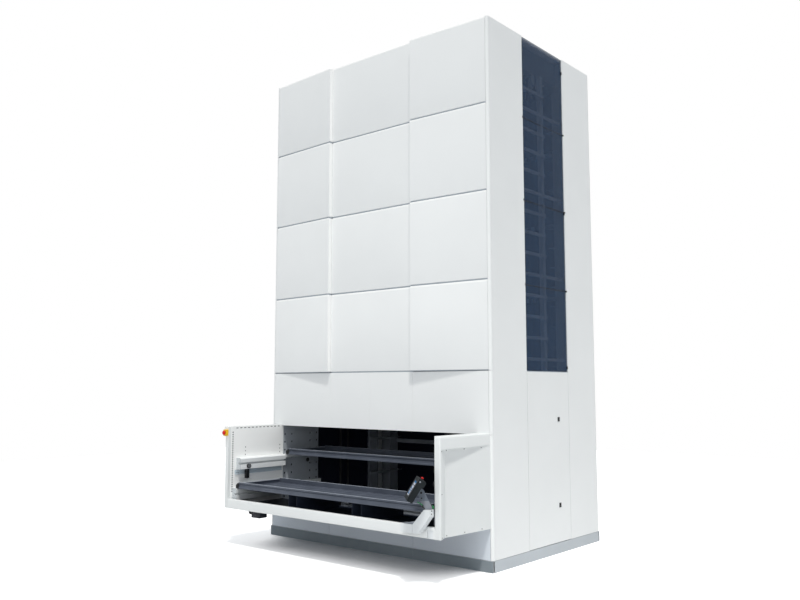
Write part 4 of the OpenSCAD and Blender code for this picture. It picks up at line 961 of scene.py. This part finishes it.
def upper_arm():
    """Folded grey arm that widens to a paler foot plate, with its pin ends and a cable grommet."""
    points = local_points("console_arm", ARM_FRAME)
    lo, hi = local_box("console_arm", ARM_FRAME)
    pin = ARM_FRAME.inverted() @ TILT
    r = hi.z - pin.z
    half, skin = 0.02, 0.001
    foot_t, foot_r = 0.012, 0.036
    pivot_r, pivot_l, free = 0.012, 0.04, 0.0003
    seam_h = 0.09
    back = lo.x
    ahead = max(p.x for p in points if abs(p.z - foot_t) < 0.0005)
    place = within(ARM_FRAME, front)

    def edge(h, start):
        """Place along the arm's side at that height, from its foot to the round head."""
        end = pin.x - r if start == back else pin.x + r
        return start + (end - start) * (h - foot_t) / (pin.z - foot_t)

    seam = [(edge(seam_h, back), seam_h), (edge(seam_h, ahead), seam_h)]
    head = [(pin.x + r * math.cos(a), pin.z + r * math.sin(a)) for a in angles(16, math.pi)]
    bm = bmesh.new()
    prism(bm, seam + head, -half, half, place)
    piece("upper_arm", bm, ARM, body="console_arm", soft=0.003, steps=2,
          stands_for=("console_arm",))
    bm = bmesh.new()
    prism(bm, [(back, foot_t), (ahead, foot_t), *seam[::-1]], -half - skin, half + skin, place)
    pivot = [(pivot_r, -pivot_l), (pivot_r, free), (foot_r, free), (foot_r, foot_t), (0, foot_t)]
    lathe(bm, pivot, ARM_FRAME)
    piece("upper_arm_foot", bm, FOOT, body="console_arm", soft=0.003, steps=2)
    pin_end = [(0.011, 0), (0.011, 0.002), (0.009, 0.004), (0, 0.004)]
    grommet = [(0.008, 0), (0.008, 0.002), (0.006, 0.003), (0.004, 0.003), (0.004, 0.001), (0, 0.001)]
    grommet_x, grommet_z = pin.x - 0.005, seam_h + 0.03
    across = ARM_FRAME.to_3x3() @ Vector((0, 1, 0))
    bm = bmesh.new()
    for s in (-1, 1):
        lathe(bm, pin_end, facing(ARM_FRAME @ Vector((pin.x, s * EAR_OUT, pin.z)), s * across), 24)
        lathe(bm, grommet, facing(ARM_FRAME @ Vector((grommet_x, s * half, grommet_z)), s * across), 24)
    piece("arm_pin_ends", bm, PLASTIC, body="console_arm")


def lower_arm():
    """White folded lower arm on its bracket, with a dark gusset and two black bolts on its end."""
    lo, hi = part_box("console_bracket")
    foot_x = lo.x + 0.165
    wide, step, head_h = 0.08, 0.092, 0.07
    wall, free = 0.003, 0.0015
    base, top, ledge = lo.z, SWIVEL.z, lo.z + step
    y0, y1 = lo.y, 2 * SWIVEL.y - lo.y
    x1, x2 = 2 * SWIVEL.x - hi.x, hi.x
    arm = [(foot_x, base), (foot_x + wide, base), (x2, top - head_h), (x2, top), (x1, top), (foot_x, ledge)]
    bm = bmesh.new()
    prism(bm, arm, y0, y1, front)
    piece("lower_arm", bm, PALE_AND_RECESS_SHADE, soft=0.004, steps=2, stands_for=("console_bracket",))
    right = foot_x - free
    rear = BAY_FRONT - wall
    bm = bmesh.new()
    box(bm, (lo.x, y0, base), (right, y0 + wall, ledge))
    box(bm, (lo.x, rear, base), (right, BAY_FRONT, ledge))
    for x in (lo.x, right - wall):
        box(bm, (x, y0 + wall, base), (x + wall, rear, ledge))
    piece("arm_bracket", bm, PALE_AND_RECESS_SHADE, soft=0.001)
    lid_low, lid_top = ledge - 0.006, ledge - 0.002
    rise, gusset_in, gusset_t = 0.036, 0.012, 0.004
    lean = (x1 - foot_x) * rise / (top - ledge)
    gusset = [(lo.x + 0.03, ledge), (foot_x, ledge), (foot_x + lean, ledge + rise)]
    bm = bmesh.new()
    box(bm, (lo.x + wall, y0 + wall, lid_low), (right - wall, rear, lid_top))
    prism(bm, gusset, y0 + gusset_in, y0 + gusset_in + gusset_t, front)
    piece("arm_bracket_web", bm, STEEL, soft=0.001)
    bolt = [(0.006, 0), (0.006, 0.003), (0.004, 0.0045), (0, 0.0045)]
    bm = bmesh.new()
    for drop in (0.012, 0.046):
        lathe(bm, bolt, facing((x2, SWIVEL.y, top - drop), (1, 0, 0)), 16)
    piece("lower_arm_bolts", bm, PLASTIC)


def wire(name, points, r, material, body):
    """A short smooth wire through the points."""
    curve = bpy.data.curves.new(name, "CURVE")
    curve.dimensions = "3D"
    curve.bevel_depth = r
    curve.bevel_resolution = 3
    curve.use_fill_caps = True
    line = curve.splines.new("NURBS")
    line.points.add(len(points) - 1)
    for p, co in zip(line.points, points):
        p.co = (*co, 1.0)
    line.use_endpoint_u = True
    line.order_u = 3
    ob = bpy.data.objects.new(name, curve)
    scene.collection.objects.link(ob)
    mesh = bpy.data.meshes.new_from_object(ob.evaluated_get(bpy.context.evaluated_depsgraph_get()))
    bpy.data.objects.remove(ob)
    mesh.materials.append(material)
    mesh.shade_smooth()
    made = bpy.data.objects.new(name, mesh)
    scene.collection.objects.link(made)
    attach(made, body)


def arm_wires():
    """Short earth wires and a cable end fixed along the upper arm."""
    near, far = 0.026, 0.034
    wire_r, cable_r = 0.005, 0.007
    earth_front = [(0.064, near, 0.045), (0.08, far, 0.058), (0.1, far, 0.07), (0.125, near, 0.085)]
    earth_rear = [(-0.036, near, 0.014), (-0.05, 0.03, 0.022), (-0.048, 0.03, 0.034), (-0.032, near, 0.042)]
    cable = [(0.05, near, 0.016), (0.066, far, 0.024), (0.072, far, 0.038), (0.066, near, 0.048)]
    runs = (("earth_wire_front", earth_front, wire_r, GREEN, "arm_grey"),
            ("earth_wire_rear", earth_rear, wire_r, GREEN, "arm_grey"),
            ("arm_cable", cable, cable_r, RUBBER, "black_plastic"))
    for name, points, r, material, slot in runs:
        wire(name, [ARM_FRAME @ Vector(q) for q in points], r, material, "console_arm")


# Drives

def bay_drive():
    """Finned motor and ribbed gear case under the bay's left front corner, with its hanger."""
    lo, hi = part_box("bay_gearmotor")
    motor_l, r, core, fin_root = 0.09, 0.038, 0.8, 0.82
    hanger_h, hanger_in, hanger_past = 0.012, 0.02, 0.01
    ribs, rib_pitch, rib_w, rib_proud = 4, 0.037, 0.008, 0.003
    x1 = lo.x + motor_l
    bm = bmesh.new()
    prism(bm, rounded(x1, lo.y, hi.x, hi.y, 0.02), lo.z, hi.z - hanger_h, plan)
    for i in range(ribs):
        x = x1 + 0.03 + rib_pitch * i
        box(bm, (x, lo.y - rib_proud, lo.z + 0.012), (x + rib_w, hi.y + rib_proud, hi.z - 0.02))
    box(bm, (x1 - hanger_past, lo.y + hanger_in, hi.z - hanger_h), (hi.x, hi.y - hanger_in, hi.z))
    piece("bay_gear_case", bm, MOTOR, soft=0.004, steps=2, stands_for=("bay_gearmotor",))
    axis = Vector((lo.x, (lo.y + hi.y) / 2, hi.z - 0.039))
    fins, ease = 8, 0.001
    profile = [(r * core, 0)]
    for i in range(fins):
        a = motor_l * (i + 0.25) / fins
        b = motor_l * (i + 0.75) / fins
        profile += [(r * fin_root, a), (r, a + ease), (r, b - ease), (r * fin_root, b)]
    bm = bmesh.new()
    lathe(bm, [*profile, (r * core, motor_l)], facing(axis, (1, 0, 0)), 36)
    piece("bay_motor", bm, MOTOR)


# Light, floor and camera

def joined(tree, operation, a, b):
    """Math node of two sockets."""
    node = tree.nodes.new("ShaderNodeMath")
    node.operation = operation
    tree.links.new(a, node.inputs[0])
    tree.links.new(b, node.inputs[1])
    return node.outputs["Value"]


def background_rays(tree):
    """1 for the rays that show the background: from the camera, off metal and through glass."""
    path = tree.nodes.new("ShaderNodeLightPath").outputs
    direct = joined(tree, "MAXIMUM", path["Is Camera Ray"], path["Is Glossy Ray"])
    return joined(tree, "MAXIMUM", direct, path["Is Transmission Ray"])


def world_light():
    """Soft cool studio light, white where it is seen as the background."""
    world = bpy.data.worlds.new("studio")
    scene.world = world
    world.use_nodes = True
    tree = world.node_tree
    tree.nodes.clear()
    soft = tree.nodes.new("ShaderNodeBackground")
    soft.inputs["Color"].default_value = (0.88, 0.94, 1.0, 1.0)
    soft.inputs["Strength"].default_value = 0.46
    clear = tree.nodes.new("ShaderNodeBackground")
    clear.inputs["Color"].default_value = (1.0, 1.0, 1.0, 1.0)
    clear.inputs["Strength"].default_value = 1.0
    mix = tree.nodes.new("ShaderNodeMixShader")
    out = tree.nodes.new("ShaderNodeOutputWorld")
    tree.links.new(background_rays(tree), mix.inputs["Fac"])
    tree.links.new(soft.outputs["Background"], mix.inputs[1])
    tree.links.new(clear.outputs["Background"], mix.inputs[2])
    tree.links.new(mix.outputs["Shader"], out.inputs["Surface"])


def sun(name, strength, azimuth, elevation, angle, colour=(1.0, 0.975, 0.935)):
    """A soft far light. Azimuth 0 comes from the front, 90 from the right."""
    data = bpy.data.lights.new(name, "SUN")
    data.energy = strength
    data.angle = math.radians(angle)
    data.color = colour
    ob = bpy.data.objects.new(name, data)
    a, e = math.radians(azimuth), math.radians(elevation)
    towards = Vector((math.sin(a) * math.cos(e), -math.cos(a) * math.cos(e), math.sin(e)))
    ob.rotation_euler = towards.to_track_quat("Z", "Y").to_euler()
    scene.collection.objects.link(ob)


def card(name, power, place, target, width, height):
    """A wide soft panel light that looks at a target."""
    data = bpy.data.lights.new(name, "AREA")
    data.shape = "RECTANGLE"
    data.energy = power
    data.size = width
    data.size_y = height
    ob = bpy.data.objects.new(name, data)
    ob.location = place
    ob.rotation_euler = (Vector(place) - Vector(target)).to_track_quat("Z", "Y").to_euler()
    ob.visible_camera = False
    ob.visible_glossy = False
    scene.collection.objects.link(ob)


def studio_floor():
    """Pale floor that reads white away from the object and keeps its soft shadow; close to the object its glow
    fades with ambient occlusion, a painted contact shade.
    """
    glow_level = 0.54
    contact_reach = 1.0
    shut, clear = 0.18, 0.42
    mat = bpy.data.materials.new("studio_floor")
    mat.use_nodes = True
    tree = mat.node_tree
    shader = tree.nodes["Principled BSDF"]
    shader.inputs["Base Color"].default_value = (0.8, 0.803, 0.807, 1.0)
    shader.inputs["Roughness"].default_value = 0.9
    shader.inputs["Specular IOR Level"].default_value = 0.1
    glow = tree.nodes.new("ShaderNodeEmission")
    # Ambient occlusion fades the glow close to the object: painted contact shade.
    contact = tree.nodes.new("ShaderNodeAmbientOcclusion")
    contact.inputs["Distance"].default_value = contact_reach
    fade = tree.nodes.new("ShaderNodeMapRange")
    fade.inputs["From Min"].default_value = shut
    fade.inputs["From Max"].default_value = clear
    fade.inputs["To Max"].default_value = glow_level
    tree.links.new(contact.outputs["AO"], fade.inputs["Value"])
    shown = joined(tree, "MULTIPLY", background_rays(tree), fade.outputs["Result"])
    tree.links.new(shown, glow.inputs["Strength"])
    mixed = tree.nodes.new("ShaderNodeAddShader")
    tree.links.new(shader.outputs["BSDF"], mixed.inputs[0])
    tree.links.new(glow.outputs["Emission"], mixed.inputs[1])
    tree.links.new(mixed.outputs["Shader"], tree.nodes["Material Output"].inputs["Surface"])
    bm = bmesh.new()
    reach, drop = 16.0, 0.0005
    corners = ((-reach, -reach), (reach, -reach), (reach, reach), (-reach, reach))
    bm.faces.new([bm.verts.new((x, y, -drop)) for x, y in corners])
    mesh = bpy.data.meshes.new("studio_floor")
    bm.to_mesh(mesh)
    bm.free()
    mesh.materials.append(mat)
    ob = bpy.data.objects.new("studio_floor", mesh)
    scene.collection.objects.link(ob)


def photo_camera():
    """The camera fitted to the photo."""
    place = (7.246, -9.199, 2.1)
    pitch, turn = math.radians(96.016), math.radians(40.39)
    data = bpy.data.cameras.new("photo_camera")
    data.sensor_width = 36.0
    data.lens = 36.82
    data.clip_end = 200.0
    ob = bpy.data.objects.new("photo_camera", data)
    ob.location = place
    ob.rotation_euler = (pitch, 0.0, turn)
    scene.collection.objects.link(ob)
    scene.camera = ob


scene.view_settings.view_transform = "Standard"
paint_nodes()
front_panels()
column_return_highlights()
joint_backing()
header()
plinth_shade_strips()
door_seal()
pane_joints()
bay_walls()
apron()
apron_corner()
liner_slots()
for level in ("upper", "lower"):
    rail_caps(level)
rail_band()
sensor_eyes()
dark_shaft()
screw_heads()
for level in ("lower", "upper"):
    tray_dress(level)
bay_stop()
console_case()
console_ears()
screen_page()
console_side_button()
console_stop()
upper_arm()
lower_arm()
arm_wires()
bay_drive()
world_light()
sun("key", strength=2.3, azimuth=45, elevation=66, angle=6)
card("fill", power=70, place=(3.2, -8.0, 3.4), target=(0.3, -1.2, 2.6), width=4.0, height=3.0)
studio_floor()
photo_camera()
